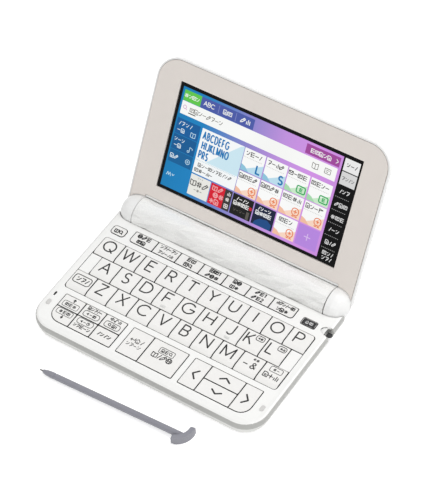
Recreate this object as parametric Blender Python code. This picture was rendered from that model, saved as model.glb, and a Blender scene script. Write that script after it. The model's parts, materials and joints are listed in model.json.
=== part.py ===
"""Pocket electronic dictionary: keyboard half, colour display half, centre barrel with two cells, stylus.

Model axes: X to the right, Y away from the user, Z up from the table. The lid stands open at lid_open_angle.
Case coordinates start at the middle of the front edge; part_origin then moves everything so that the
world origin is the middle of the underside of the whole object.
"""
import math

import bmesh
import bpy
from mathutils import Matrix

for old_object in list(bpy.data.objects):
    bpy.data.objects.remove(old_object, do_unlink=True)

mm = 0.001

# Whole object
case_width = 148 * mm
hinge_distance = 94.6 * mm  # front edge to hinge axis
barrel_radius = 9.5 * mm
fit_gap = 0.3 * mm  # between pieces that are fixed to each other
running_gap = 0.5 * mm  # between pieces that turn past each other
cut_overrun = 5 * mm  # how far a cutter runs past what it cuts
overlap_depth = 0.4 * mm  # how far a joined shape reaches into the shape that carries it
corner_radius = 14 * mm
large_corner_steps = 8
round_steps = 32
fold_angle = 30

# Stylus
stylus_radius = 1.8 * mm
stylus_tip_x = -51.3 * mm
stylus_tip_y = -19 * mm
stylus_angle = 1.9
nib_length = 2.4 * mm
nib_radius = 0.55 * mm
cone_length = 5.2 * mm
cone_start_radius = 0.95 * mm
cone_middle_share = 0.42
cone_fullness_share = 0.66
stylus_groove_start = 9.6 * mm
stylus_groove_width = 1 * mm
stylus_groove_depth = 0.3 * mm
stylus_steps = 14
head_centre_along = 84.6 * mm
head_centre_side = 4.6 * mm
head_arc_radius = 9.2 * mm
head_start_angle = -77
head_end_angle = 10
head_thickness = 2.6 * mm
head_width = 5.4 * mm
head_steps = 10
head_edge = 0.45 * mm

# Bottom case with the stylus slot
foot_height = 0.4 * mm
foot_radius = 4 * mm
foot_steps = 16
foot_inset = 11 * mm
rear_foot_radius = 2 * mm
rear_foot_steps = 12
slot_wall = 0.9 * mm  # floor below the stylus slot
slot_roof = 0.5 * mm
slot_clearance = 0.5 * mm
slot_spare_length = 3.4 * mm
slot_offset = 18.4 * mm  # slot axis in front of the hinge axis
pocket_clearance = 0.3 * mm  # head of the stylus in its notch, each side
pocket_depth_clearance = 1 * mm
pocket_knee_share = 0.75  # height of the knee in the notch, of the parting height
pocket_corner = 0.9 * mm
thumb_notch_depth = 6.2 * mm
thumb_notch_drop = 0.9 * mm
side_tuck = 4.6 * mm  # how far the flat underside lies inside the widest outline, at the sides
front_tuck = 2.6 * mm  # the same at the front, where the wall stands steeper
tuck_level_shares = ((0.0, 1.0), (0.12, 0.62), (0.3, 0.34), (0.6, 0.12), (1.0, 0.0))
case_edge_step = 0.35 * mm  # bottom case edge lies this far inside the deck edge
post_radius = 2 * mm
post_steps = 8
post_wall_gap = 1 * mm
jack_radius = 1.9 * mm
jack_depth = 12 * mm
jack_steps = 20
jack_front_margin = 58 * mm
socket_width = 7.8 * mm
socket_height = 2.8 * mm
socket_depth = 5 * mm
socket_front_margin = 45 * mm
card_slot_width = 11.8 * mm
card_slot_height = 1.4 * mm
card_slot_depth = 4 * mm
card_slot_front_margin = 42 * mm
port_corner = 0.5 * mm
port_corner_steps = 2
well_radius = 2.6 * mm
well_depth = 1.4 * mm
well_steps = 20
well_side_margin = 17 * mm
well_front_margin = 23 * mm
well_rear_margin = 27 * mm
grille_slot_count = 6
grille_slot_length = 16 * mm
grille_slot_width = 1.1 * mm
grille_pitch = 2.3 * mm
grille_depth = 1.2 * mm
grille_side_margin = 40 * mm  # middle of the grille to the right side
grille_front_margin = 38 * mm
grille_end_steps = 3
rear_end_offset = 4.5 * mm  # case sides stop this far in front of the hinge axis
belly_offset = 3 * mm  # underside of the barrel bay stops this far in front of it

# Deck
deck_thickness = 1.6 * mm
deck_wall = 1.5 * mm
crease_inset = 1.7 * mm  # edge of the flat top
deck_edge_level_shares = ((0.0, 0.12), (0.28, 0.0), (0.65, 0.09), (0.86, 0.35), (1.0, 1.0))
bumper_width = 2.4 * mm
bumper_length = 3.6 * mm
bumper_corner = 0.95 * mm
bumper_corner_steps = 3
bumper_side_margin = 4.8 * mm
bumper_front_margin = 15.7 * mm
lamp_slot_width = 1.1 * mm
lamp_slot_length = 3 * mm
lamp_slot_corner = 0.45 * mm
lamp_slot_corner_steps = 2
lamp_slot_side_margin = 4.4 * mm
lamp_slot_front_margin = 22.4 * mm
lamp_slot_depth = 0.9 * mm

# Keys
letter_columns = 10
letter_rows = 3
letter_margin = 5.25 * mm  # letter block to the case side
block_gap = 3.65 * mm  # between the blocks of keys from front to rear, and to the barrel
key_gap = 0.36 * mm  # between keys, and between keys and deck
key_travel = 0.9 * mm
key_rise = 0.3 * mm
flat_key_rise = 0.12 * mm
key_thickness = 1.5 * mm
bottoming_gap = 0.2 * mm
skirt_depth = 2.9 * mm
skirt_drop = 0.85 * mm
home_bar_length = 2.6 * mm  # raised bars that the forefingers find
home_bar_width = 0.5 * mm
home_bar_rise = 0.2 * mm
home_bar_drop = 0.8 * mm  # down the skirt from its upper edge
key_edge = 0.2 * mm
small_corner = 0.35 * mm
block_corner = 1.8 * mm
block_corner_steps = 3
sweep_corner = 6.6 * mm
sweep_corner_steps = 6
stem_width = 2.4 * mm
blank_groove_depth = 0.9 * mm

function_count = 7
function_depth = 8 * mm
function_left_margin = 17.8 * mm
function_right_margin = 23.2 * mm
power_margin = 4.8 * mm
power_width = 9 * mm
power_depth = 6.2 * mm
home_margin = 9.1 * mm
home_width = 9 * mm
home_depth = 5 * mm
home_corner = 0.9 * mm

lower_front = 6.7 * mm
lower_depth = 18.6 * mm
lower_split_share = 0.52  # where the lower blocks divide into front and rear keys
lower_margin = 9.9 * mm
lower_block_gap = 3.95 * mm
left_block_columns = 3
enter_width_share = 1.615  # of the letter pitch
arrow_side_width = 10.8 * mm

# Key guide plate
guide_thickness = 1.1 * mm
guide_side_gap = 0.6 * mm
stem_gap = 0.3 * mm

# Centre barrel and cells
barrel_floor_gap = 0.5 * mm  # below the barrel
barrel_end_wall = 1.7 * mm
barrel_shell = 2 * mm
barrel_facet_rows = 16
barrel_facet_columns = 13
facet_relief = 0.3 * mm
shell_start_angle = -8
shell_end_angle = 186
cradle_end_angle = 270
cover_end_angle = 348
end_gap_angle = 2  # between the edges of shell, cradle and cover
arc_steps = 10
cell_end_room = 10.1 * mm  # contact springs
cell_nub_length = 1.3 * mm
cell_nub_radius = 2.7 * mm
cell_rim = 0.5 * mm
partition_thickness = 1.4 * mm
cover_end_margin = 4.7 * mm
cover_rib_count = 3
cover_rib_angle = 315
cover_rib_pitch = 2.4 * mm
cover_rib_height = 0.35 * mm
cover_rib_length = 26 * mm
cover_rib_width = 0.9 * mm
hinge_pin_radius = 2.2 * mm
hinge_pin_length = 4 * mm
pin_steps = 16

# Knuckles of the lid
knuckle_gap = 0.4 * mm  # barrel to knuckle
knuckle_length = 10.7 * mm
knuckle_straight = 0.5 * mm
knuckle_step = 0.1 * mm  # knuckles are this much slimmer than the barrel
knuckle_power = 2.5  # how square the domed end is
knuckle_rings = 7
knuckle_last_angle = 86  # the dome ends in a small flat
knuckle_round_steps = 22
knuckle_tip_step = 0.1 * mm
arm_top_angle = 100  # where the rise of the back meets the round of the knuckle
arm_neck_share = 0.94

# Lid
lid_open_angle = 120.1
lid_side_step = 0.2 * mm  # lid inside the deck's edge
lid_overhang = 0.2 * mm  # lid past the front edge when shut
lid_rest_gap = 0.3 * mm  # bezel above the keys when shut
rim_width = 0.9 * mm
rim_drop = 0.2 * mm
bezel_thickness = 1.2 * mm
hinge_rim = 1.2 * mm
bezel_foot_gap = 0.45 * mm
bezel_foot_steps = 5
arm_start = 2 * mm  # the lid plate beside the knuckles starts this far from the axis
lid_back_wall = 1.1 * mm
lid_edge_inset = 1.8 * mm  # rounding of the back edge
lid_edge_start_share = 0.5  # the rounding starts at this share of the lid's thickness
lid_edge_steps = 4
swell_length = 28 * mm  # the back rises towards the barrel over this length
swell_point_shares = ((0.72, 0.22), (0.46, 0.5), (0.25, 0.8))
swell_middle_share = 0.75  # between the knuckles the section shrinks to this, inside the room for the barrel
display_side_margin = 15.6 * mm
display_hinge_margin = 18.5 * mm  # hinge axis to the window
display_top_margin = 12.1 * mm
glass_recess = 0.6 * mm
panel_lip = 1.5 * mm
panel_thickness = 1.9 * mm

# Sizes worked out from the ones above, across the object
half_width = case_width / 2
lid_half_width = half_width - lid_side_step
knuckle_end = lid_half_width - knuckle_tip_step
knuckle_start = knuckle_end - knuckle_length
knuckle_dome_start = knuckle_start + knuckle_straight
barrel_end = knuckle_start - knuckle_gap
barrel_wall_end = barrel_end - barrel_end_wall
cradle_end = barrel_wall_end - fit_gap
cover_half_length = cradle_end - cover_end_margin
cell_reach = cradle_end - cell_end_room
cell_length = cell_reach - cell_nub_length
letter_pitch = (case_width - 2 * letter_margin) / letter_columns
letter_left = letter_margin - half_width
function_left = function_left_margin - half_width
function_pitch = (case_width - function_left_margin - function_right_margin) / function_count
power_left = power_margin - half_width
home_left = half_width - home_margin - home_width
lower_outer = half_width - lower_margin
enter_key_width = letter_pitch * enter_width_share
display_half_width = lid_half_width - display_side_margin
bezel_half_width = lid_half_width - rim_width - fit_gap

# From front to rear
barrel_front = hinge_distance - barrel_radius
letter_front = lower_front + lower_depth + block_gap
function_front = barrel_front - block_gap - function_depth
row_pitch = (function_front - block_gap - letter_front) / letter_rows
letter_rear = letter_front + letter_rows * row_pitch
lower_rear = lower_front + lower_depth
lower_split = lower_front + lower_depth * lower_split_share
slot_centre = hinge_distance - slot_offset
pocket_front = slot_centre - head_width / 2 - pocket_clearance
pocket_rear = slot_centre + head_width / 2 + pocket_clearance
pocket_depth = head_thickness + pocket_depth_clearance
lid_reach = hinge_distance + lid_overhang
bezel_reach = lid_reach - rim_width - fit_gap
display_end = lid_reach - display_top_margin
bezel_start = barrel_radius + running_gap + hinge_rim
stylus_shoulder = nib_length + cone_length
stylus_shaft_end = head_centre_along + head_arc_radius - head_thickness / 2 - fit_gap / 2

# Heights, from the table up
slot_size = 2 * (stylus_radius + slot_clearance)
slot_floor = foot_height + slot_wall
slot_length = head_centre_along + slot_spare_length
parting_height = slot_floor + slot_size + slot_roof
guide_bottom = parting_height + key_travel + fit_gap
guide_top = guide_bottom + guide_thickness
key_floor = guide_top + key_travel + bottoming_gap
deck_height = key_floor + key_thickness - key_rise
stem_length = key_floor - guide_bottom
bumper_rise = key_rise + lid_rest_gap / 2
hinge_height = barrel_radius + barrel_floor_gap

# Round the hinge axis, and in the shut lid measured from it
cell_bay_radius = barrel_radius - barrel_shell
cell_radius = cell_bay_radius - fit_gap
knuckle_radius = barrel_radius - knuckle_step
lid_clear_radius = barrel_radius + running_gap
bezel_level = deck_height + key_rise + lid_rest_gap - hinge_height
panel_level = bezel_level + bezel_thickness + fit_gap
back_level = panel_level + panel_thickness + fit_gap + lid_back_wall
front_level = bezel_level + rim_drop
edge_level = front_level + (back_level - front_level) * lid_edge_start_share


def plastic(name, colour, roughness, metallic=0.0):
    """One material with a single finish; colour is an sRGB hex number."""
    material = bpy.data.materials.new(name)
    material.use_nodes = True
    channels = [((colour >> shift) & 255) / 255 for shift in (16, 8, 0)]
    linear = [c / 12.92 if c <= 0.04045 else ((c + 0.055) / 1.055) ** 2.4 for c in channels]
    shader = material.node_tree.nodes["Principled BSDF"]
    shader.inputs["Base Color"].default_value = (*linear, 1.0)
    shader.inputs["Roughness"].default_value = roughness
    shader.inputs["Metallic"].default_value = metallic
    return material


def empty(name, location=(0, 0, 0), parent=None):
    """A frame that carries pieces."""
    frame = bpy.data.objects.new(name, None)
    bpy.context.scene.collection.objects.link(frame)
    frame.parent = parent
    frame.location = location
    return frame


def mesh_from(shape, name):
    """Close the editing mesh and keep it with its faces pointing out."""
    bmesh.ops.recalc_face_normals(shape, faces=shape.faces)
    mesh = bpy.data.meshes.new(name)
    shape.to_mesh(mesh)
    shape.free()
    return mesh


def place(name, mesh, parent, material=None, location=(0, 0, 0)):
    """An object that shows one mesh, shaded smooth up to its folds."""
    mesh.shade_smooth()
    mesh.set_sharp_from_angle(angle=math.radians(fold_angle))
    piece = bpy.data.objects.new(name, mesh)
    bpy.context.scene.collection.objects.link(piece)
    piece.parent = parent
    piece.location = location
    if material:
        mesh.materials.clear()
        mesh.materials.append(material)
    return piece


def combine(body, shape, operation, name):
    """Cut a helper shape from a body, or join it on."""
    helper = place(name, mesh_from(shape, name), body)
    helper.hide_render = True
    helper.display_type = "WIRE"
    modifier = body.modifiers.new(name, "BOOLEAN")
    modifier.operation = operation
    modifier.solver = "EXACT"
    modifier.object = helper


def cut(body, shape, name):
    combine(body, shape, "DIFFERENCE", f"cut_{body.name}_{name}")


def join(body, shape, name):
    combine(body, shape, "UNION", f"join_{body.name}_{name}")


def corner_points(centre, radius, start_angle, steps):
    """Points of a quarter turn, anticlockwise from start_angle in degrees."""
    points = []
    for step in range(steps + 1):
        angle = math.radians(start_angle + 90 * step / steps)
        points.append((centre[0] + radius * math.cos(angle), centre[1] + radius * math.sin(angle)))
    return points


def rounded_outline(left, right, front, rear, radii, steps):
    """Anticlockwise outline of a rectangle; radii and steps start front left and go round the same way."""
    corners = (
        (left, front, 1, 1, 180), (right, front, -1, 1, 270),
        (right, rear, -1, -1, 0), (left, rear, 1, -1, 90),
    )
    outline = []
    for (x, y, turn_x, turn_y, start), radius, count in zip(corners, radii, steps):
        if radius > 0:
            outline += corner_points((x + turn_x * radius, y + turn_y * radius), radius, start, count)
        else:
            outline.append((x, y))
    return outline


def square_outline(left, right, front, rear):
    return rounded_outline(left, right, front, rear, (0, 0, 0, 0), (1, 1, 1, 1))


def loft(rings):
    """A closed body through rings of equal point count."""
    shape = bmesh.new()
    loops = [[shape.verts.new(point) for point in ring] for ring in rings]
    for lower, upper in zip(loops, loops[1:]):
        for index in range(len(lower)):
            after = (index + 1) % len(lower)
            shape.faces.new((lower[index], lower[after], upper[after], upper[index]))
    shape.faces.new(list(reversed(loops[0])))
    shape.faces.new(loops[-1])
    return shape


def prism(outline, bottom, top):
    """An outline in X and Y, from one height to another."""
    return loft([[(x, y, height) for x, y in outline] for height in (bottom, top)])


def bar(outline, left, right):
    """An outline in Y and Z, from one side to the other."""
    return loft([[(x, y, z) for y, z in outline] for x in (left, right)])


def block(left, right, front, rear, bottom, top):
    return prism(square_outline(left, right, front, rear), bottom, top)


def turned(profile, steps):
    """A profile of (x, radius) points turned round the X axis."""
    shape = bmesh.new()
    chain = [shape.verts.new((x, radius, 0)) for x, radius in profile]
    edges = [shape.edges.new(pair) for pair in zip(chain, chain[1:])]
    bmesh.ops.spin(
        shape, geom=chain + edges, cent=(0, 0, 0), axis=(1, 0, 0), angle=2 * math.pi, steps=steps,
        use_merge=True,
    )
    bmesh.ops.remove_doubles(shape, verts=shape.verts, dist=0.001 * mm)
    return shape


def cylinder(radius, left, right, steps):
    """A round bar along X."""
    return turned([(left, 0), (left, radius), (right, radius), (right, 0)], steps)


def disc(x, y, radius, bottom, top, steps):
    """A round post along Z."""
    points = [(x + radius * math.cos(2 * math.pi * i / steps), y + radius * math.sin(2 * math.pi * i / steps))
              for i in range(steps)]
    return prism(points, bottom, top)


def moved(shape, x, y, z):
    bmesh.ops.translate(shape, verts=shape.verts, vec=(x, y, z))
    return shape


def at_hinge(shape):
    return moved(shape, 0, hinge_distance, hinge_height)


def arc_sector(inner, outer, start, end, left, right, steps):
    """A curved wall round the hinge axis between two angles, measured from +Y towards +Z."""
    angles = [math.radians(start + (end - start) * step / steps) for step in range(steps + 1)]
    outline = [(outer * math.cos(a), outer * math.sin(a)) for a in angles]
    outline += [(inner * math.cos(a), inner * math.sin(a)) for a in reversed(angles)]
    return bar(outline, left, right)


def dome_radius(x):
    """Radius of a knuckle at a distance x from the middle of the object."""
    share = min(max((x - knuckle_dome_start) / (knuckle_end - knuckle_dome_start), 0.0), 1.0)
    return knuckle_radius * (1 - share ** knuckle_power) ** (1 / knuckle_power)


def dome_profile(grow, last_angle):
    """Points (x, radius) of the domed end of a knuckle, from its straight part to its tip."""
    profile = []
    for ring in range(knuckle_rings + 1):
        turn = math.radians(last_angle * ring / knuckle_rings)
        reach = math.sin(turn) ** (2 / knuckle_power)
        width = math.cos(turn) ** (2 / knuckle_power)
        profile.append((knuckle_dome_start + (knuckle_end - knuckle_dome_start + grow) * reach,
                        (knuckle_radius + grow) * width))
    return profile


def mirrored(profile):
    return [(-x, radius) for x, radius in profile]


def hinge_room(with_cell_bay):
    """Room in the keyboard half for the barrel and the two turning knuckles, and for the cells below them."""
    near = knuckle_start - running_gap
    half = [(near, barrel_radius + fit_gap), (near, knuckle_radius + running_gap)]
    half += dome_profile(running_gap, knuckle_last_angle)
    half.append((half[-1][0], 0))
    if with_cell_bay:
        half = [(cradle_end, cell_bay_radius), (cradle_end, barrel_radius + fit_gap)] + half
    return at_hinge(turned(list(reversed(mirrored(half))) + half, round_steps))


def case_outline(side_inset, front_inset, rear):
    """Plan outline of the keyboard half, drawn in from its widest line."""
    corner = corner_radius - min(side_inset, front_inset)
    return rounded_outline(-half_width + side_inset, half_width - side_inset, front_inset, rear,
                           (corner, corner, 0, 0), (large_corner_steps, large_corner_steps, 1, 1))


# Frames
part_origin = empty("part_origin")
lid_axis = empty("lid_axis", (0, hinge_distance, hinge_height), part_origin)
lid_axis.rotation_euler = (-math.radians(lid_open_angle), 0, 0)


# Bottom case with cradle for the cells, stylus slot and feet
def build_bottom_case():
    rear = hinge_distance - rear_end_offset
    rings = []
    for height_share, tuck_share in tuck_level_shares:
        height = foot_height + (parting_height - foot_height) * height_share
        outline = case_outline(case_edge_step + side_tuck * tuck_share,
                               case_edge_step + front_tuck * tuck_share, rear)
        rings.append([(x, y, height) for x, y in outline])
    body = place("bottom_case", mesh_from(loft(rings), "bottom_case"), part_origin,
                 plastic("bottom_case_plastic", 0xC4C4C0, 0.5))
    join(body, block(-cradle_end + fit_gap, cradle_end - fit_gap, rear - cut_overrun,
                     hinge_distance - belly_offset, foot_height,
                     hinge_height - cell_bay_radius + overlap_depth), "belly")
    join(body, at_hinge(arc_sector(cell_bay_radius - overlap_depth, barrel_radius,
                                   shell_end_angle + end_gap_angle, cover_end_angle,
                                   -barrel_end + overlap_depth, barrel_end - overlap_depth, 2 * arc_steps)),
         "cradle")
    cut(body, hinge_room(True), "hinge_room")
    cut(body, at_hinge(arc_sector(cell_bay_radius / 2, barrel_radius + cut_overrun, cradle_end_angle,
                                  cover_end_angle + end_gap_angle, -cover_half_length - fit_gap,
                                  cover_half_length + fit_gap, arc_steps)), "cover_opening")
    for name, near, far in (("left", -cell_reach - fit_gap - partition_thickness, -cell_reach - fit_gap),
                            ("right", cell_reach + fit_gap, cell_reach + fit_gap + partition_thickness)):
        join(body, at_hinge(arc_sector(cell_nub_radius, cell_bay_radius + overlap_depth,
                                       shell_end_angle + 2 * end_gap_angle, cradle_end_angle - end_gap_angle,
                                       near, far, arc_steps)), f"{name}_partition")
    slot_half = slot_size / 2
    cut(body, block(half_width - slot_length, half_width + cut_overrun, slot_centre - slot_half,
                    slot_centre + slot_half, slot_floor, slot_floor + slot_size),
        "stylus_slot")
    cut(body, head_pocket(), "head_pocket")
    for name, x, y in guide_posts():
        join(body, disc(x, y, post_radius, parting_height - overlap_depth, guide_bottom - fit_gap,
                        post_steps), f"{name}_post")
    for name, x, y in foot_places():
        join(body, disc(x, y, foot_radius, 0, foot_height + overlap_depth, foot_steps), f"{name}_foot")
    for name, side in (("left", -1), ("right", 1)):
        middle = side * (cover_half_length + cradle_end) / 2
        join(body, disc(middle, hinge_distance, rear_foot_radius, 0, barrel_floor_gap + overlap_depth,
                        rear_foot_steps), f"{name}_rear_foot")
    cut_ports(body)
    cut_underside(body)
    return body


def cut_ports(body):
    """Earphone jack and cable socket in the left wall, memory card slot in the right one."""
    level = (foot_height + parting_height) / 2
    wall = half_width + cut_overrun
    jack = cylinder(jack_radius, -wall, jack_depth - half_width, jack_steps)
    cut(body, moved(jack, 0, jack_front_margin, level), "earphone_jack")
    for name, side, middle, width, height, depth in (
            ("cable_socket", -1, socket_front_margin, socket_width, socket_height, socket_depth),
            ("card_slot", 1, card_slot_front_margin, card_slot_width, card_slot_height, card_slot_depth)):
        outline = rounded_outline(middle - width / 2, middle + width / 2, level - height / 2,
                                  level + height / 2, [port_corner] * 4, [port_corner_steps] * 4)
        near, far = sorted((side * wall, side * (half_width - depth)))
        cut(body, bar(outline, near, far), name)


def cut_underside(body):
    """Four screw wells and the speaker's slots."""
    for name, x, y in well_places():
        cut(body, disc(x, y, well_radius, -cut_overrun, foot_height + well_depth, well_steps), f"{name}_well")
    middle = half_width - grille_side_margin
    for index in range(grille_slot_count):
        front = grille_front_margin + index * grille_pitch
        outline = rounded_outline(middle - grille_slot_length / 2, middle + grille_slot_length / 2, front,
                                  front + grille_slot_width, [grille_slot_width / 2 - fit_gap / 2] * 4,
                                  [grille_end_steps] * 4)
        cut(body, prism(outline, -cut_overrun, foot_height + grille_depth), f"grille_slot_{index + 1}")


def well_places():
    x = half_width - well_side_margin
    rear = hinge_distance - well_rear_margin
    return (("front_left", -x, well_front_margin), ("front_right", x, well_front_margin),
            ("rear_left", -x, rear), ("rear_right", x, rear))


def head_pocket():
    """Notch in the side wall for the hooked head of the stylus, open to the side and to the underside."""
    inner = half_width - pocket_depth
    low = inner - side_tuck
    profile = [(inner, deck_height + cut_overrun), (inner, parting_height * pocket_knee_share), (low, 0),
               (low, -cut_overrun), (half_width + cut_overrun, -cut_overrun),
               (half_width + cut_overrun, deck_height + cut_overrun)]
    return loft([[(x, y, z) for x, z in profile] for y in (pocket_front, pocket_rear)])


def guide_posts():
    """Places of the posts that carry the key guide plate, clear of every stem."""
    side = half_width - deck_wall - guide_side_gap - post_wall_gap - post_radius
    between_rows = lower_rear + block_gap / 2
    behind_letters = letter_rear + block_gap / 2
    return (("front_left", -side, corner_radius), ("front_right", side, corner_radius),
            ("middle", 0, between_rows), ("rear_middle", 0, behind_letters),
            ("rear_left", -side, behind_letters - row_pitch),
            ("rear_right", side, behind_letters - row_pitch))


def foot_places():
    """Front feet; the rear ones stand under the ends of the barrel."""
    x = half_width - side_tuck - foot_inset
    return (("front_left", -x, foot_inset), ("front_right", x, foot_inset))


# Keyboard deck with its openings
def key_blocks():
    """Openings of the deck: name, left, right, front, rear, corner radii and corner steps."""
    left_end = -lower_outer + left_block_columns * letter_pitch
    middle_left = left_end + lower_block_gap
    middle_right = middle_left + letter_pitch + enter_key_width
    steps = block_corner_steps
    return {
        "letters": (letter_left, -letter_left, letter_front, letter_rear, (block_corner,) * 4, (steps,) * 4),
        "functions": (function_left, function_left + function_pitch * function_count, function_front,
                      function_front + function_depth,
                      (block_corner, block_corner, small_corner, small_corner),
                      (steps, steps, 1, 1)),
        "power": (power_left, power_left + power_width, function_front, function_front + power_depth,
                  (block_corner,) * 4, (steps,) * 4),
        "home": (home_left, home_left + home_width, function_front, function_front + home_depth,
                 (home_corner,) * 4, (steps,) * 4),
        "left": (-lower_outer, left_end, lower_front, lower_rear,
                 (sweep_corner, small_corner, small_corner, small_corner), (sweep_corner_steps, 1, 1, 1)),
        "middle": (middle_left, middle_right, lower_front, lower_rear, (small_corner,) * 4, (1,) * 4),
        "right": (middle_right + lower_block_gap, lower_outer, lower_front, lower_rear,
                  (small_corner, sweep_corner, small_corner, small_corner), (1, sweep_corner_steps, 1, 1)),
    }


def build_keyboard_deck():
    rear = hinge_distance - rear_end_offset
    low = parting_height + fit_gap
    rings = []
    for height_share, inset_share in deck_edge_level_shares:
        inset = crease_inset * inset_share
        height = low + (deck_height - low) * height_share
        rings.append([(x, y, height) for x, y in case_outline(inset, inset, rear)])
    body = place("keyboard_deck", mesh_from(loft(rings), "keyboard_deck"), part_origin,
                 plastic("keyboard_deck_plastic", 0xF6F6F3, 0.38))
    inner = case_outline(deck_wall, deck_wall, barrel_front - deck_wall)
    cut(body, prism(inner, parting_height - cut_overrun, deck_height - deck_thickness), "inside")
    for name, (left, right, front, far, radii, steps) in key_blocks().items():
        grow = key_gap / 2
        outline = rounded_outline(left - grow, right + grow, front - grow, far + grow,
                                  [radius + grow for radius in radii], steps)
        cut(body, prism(outline, deck_height - deck_thickness - cut_overrun, deck_height + cut_overrun), name)
    add_blanks(body)
    cut(body, hinge_room(False), "hinge_room")
    for side in (-1, 1):
        left = side * (half_width - bumper_side_margin) - bumper_width / 2
        outline = rounded_outline(left, left + bumper_width, bumper_front_margin - bumper_length / 2,
                                  bumper_front_margin + bumper_length / 2, (bumper_corner,) * 4,
                                  (bumper_corner_steps,) * 4)
        join(body, prism(outline, deck_height - overlap_depth, deck_height + bumper_rise),
             f"bumper_{side + 1}")
    slot_left = lamp_slot_side_margin - half_width - lamp_slot_width / 2
    slot = rounded_outline(slot_left, slot_left + lamp_slot_width,
                           lamp_slot_front_margin - lamp_slot_length / 2,
                           lamp_slot_front_margin + lamp_slot_length / 2, (lamp_slot_corner,) * 4,
                           (lamp_slot_corner_steps,) * 4)
    cut(body, prism(slot, deck_height - lamp_slot_depth, deck_height + cut_overrun), "lamp_slot")
    hole = rounded_outline(half_width - pocket_depth, half_width + cut_overrun, pocket_front,
                           pocket_rear, (pocket_corner, 0, 0, pocket_corner),
                           (block_corner_steps, 1, 1, block_corner_steps))
    cut(body, prism(hole, parting_height - cut_overrun, deck_height + cut_overrun), "head_hole")
    middle, half = (pocket_front + pocket_rear) / 2, (pocket_rear - pocket_front) / 2
    reach = half + fit_gap
    scoop = []
    for step in range(round_steps // 2 + 1):
        angle = math.pi / 2 + math.pi * step / (round_steps // 2)
        scoop.append((half_width + thumb_notch_depth * math.cos(angle), middle + reach * math.sin(angle)))
    scoop += [(half_width + cut_overrun, middle - reach), (half_width + cut_overrun, middle + reach)]
    cut(body, prism(scoop, deck_height - thumb_notch_drop, deck_height + cut_overrun), "thumb_notch")
    return body


def add_blanks(body):
    """Half-width dummy keys at both ends of the middle letter row, moulded on the deck."""
    front = letter_front + row_pitch + key_gap / 2
    rear = letter_front + 2 * row_pitch - key_gap / 2
    width = letter_pitch / 2 - key_gap
    bottom = deck_height - deck_thickness
    for name, edge, step in (("left", letter_left, 1), ("right", -letter_left, -1)):
        inner, outer = edge + step * (key_gap / 2 + width), edge + step * key_gap / 2
        join(body, block(min(inner, outer), max(inner, outer), front, rear, bottom, deck_height),
             f"{name}_blank")
        web_end = edge - step * overlap_depth
        web_left, web_right = sorted((outer + step * overlap_depth, web_end))
        join(body, block(web_left, web_right, front, rear, bottom, deck_height - blank_groove_depth),
             f"{name}_blank_web")


# Keys
def key_table():
    """Every key: name, left, right, front, rear, skirt or not, and its rounded corner if it has one."""
    keys = []
    row_names = (
        ("shift", "z", "x", "c", "v", "b", "n", "m", "hyphen", "delete"),
        ("a", "s", "d", "f", "g", "h", "j", "k", "l"),
        ("q", "w", "e", "r", "t", "y", "u", "i", "o", "p"),
    )
    corner_keys = {"shift": 0, "delete": 1, "p": 2, "q": 3}
    for row, names in enumerate(row_names):
        front = letter_front + row * row_pitch
        start = -letter_pitch * len(names) / 2
        for column, name in enumerate(names):
            left = start + column * letter_pitch
            keys.append((name, left, left + letter_pitch, front, front + row_pitch, True,
                         corner_keys.get(name), block_corner, block_corner_steps))
    for index in range(function_count):
        left = function_left + index * function_pitch
        corner = {0: 0, function_count - 1: 1}.get(index)
        keys.append((f"function_{index + 1}", left, left + function_pitch, function_front,
                     function_front + function_depth, False, corner, block_corner, block_corner_steps))
    blocks = key_blocks()
    for name in ("power", "home"):
        left, right, front, rear = blocks[name][:4]
        keys.append((name, left, right, front, rear, False, "all", blocks[name][4][0], block_corner_steps))
    left, right, front, rear = blocks["left"][:4]
    lower_names = (("scroll_down", "history", "jump"), ("scroll_up", "character_size", "voice"))
    for row, names in enumerate(lower_names):
        low, high = ((front, lower_split), (lower_split, rear))[row]
        for column, name in enumerate(names):
            corner = 0 if name == "scroll_down" else None
            edge = left + column * letter_pitch
            keys.append((name, edge, edge + letter_pitch, low, high, False, corner, sweep_corner,
                         sweep_corner_steps))
    left, right, front, rear = blocks["middle"][:4]
    divide = left + letter_pitch
    keys.append(("back", left, divide, front, rear, False, None, 0, 1))
    keys.append(("enter", divide, right, front, rear, False, None, 0, 1))
    left, right, front, rear = blocks["right"][:4]
    inner_left, inner_right = left + arrow_side_width, right - arrow_side_width
    keys.append(("arrow_left", left, inner_left, front, rear, False, None, 0, 1))
    keys.append(("arrow_down", inner_left, inner_right, front, lower_split, False, None, 0, 1))
    keys.append(("arrow_up", inner_left, inner_right, lower_split, rear, False, None, 0, 1))
    keys.append(("arrow_right", inner_right, right, front, rear, False, 1, sweep_corner, sweep_corner_steps))
    return keys


def key_body(width, depth, skirt, corner, radius, steps):
    """Key cap round its own middle: thin slab, chamfered top edge, sloped front skirt on the letter keys."""
    radii = [small_corner] * 4
    counts = [1] * 4
    for index in range(4):
        if corner == "all" or corner == index:
            radii[index] = radius - key_gap / 2
            counts[index] = steps
    half_x, half_y = (width - key_gap) / 2, (depth - key_gap) / 2
    outline = rounded_outline(-half_x, half_x, -half_y, half_y, radii, counts)
    top = key_thickness - (0 if skirt else key_rise - flat_key_rise)
    narrow = [(x * (1 - key_edge / half_x), y * (1 - key_edge / half_y)) for x, y in outline]
    shape = loft([[(x, y, 0) for x, y in outline], [(x, y, top - key_edge) for x, y in outline],
                  [(x, y, top) for x, y in narrow]])
    if skirt:
        fold = skirt_depth - half_y
        bmesh.ops.bisect_plane(shape, geom=shape.verts[:] + shape.edges[:] + shape.faces[:],
                               plane_co=(0, fold, 0), plane_no=(0, 1, 0), dist=key_edge / 100)
        for vert in shape.verts:
            if vert.co.z > key_edge and vert.co.y < fold:
                vert.co.z -= skirt_drop * (fold - vert.co.y) / skirt_depth
    return shape


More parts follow.
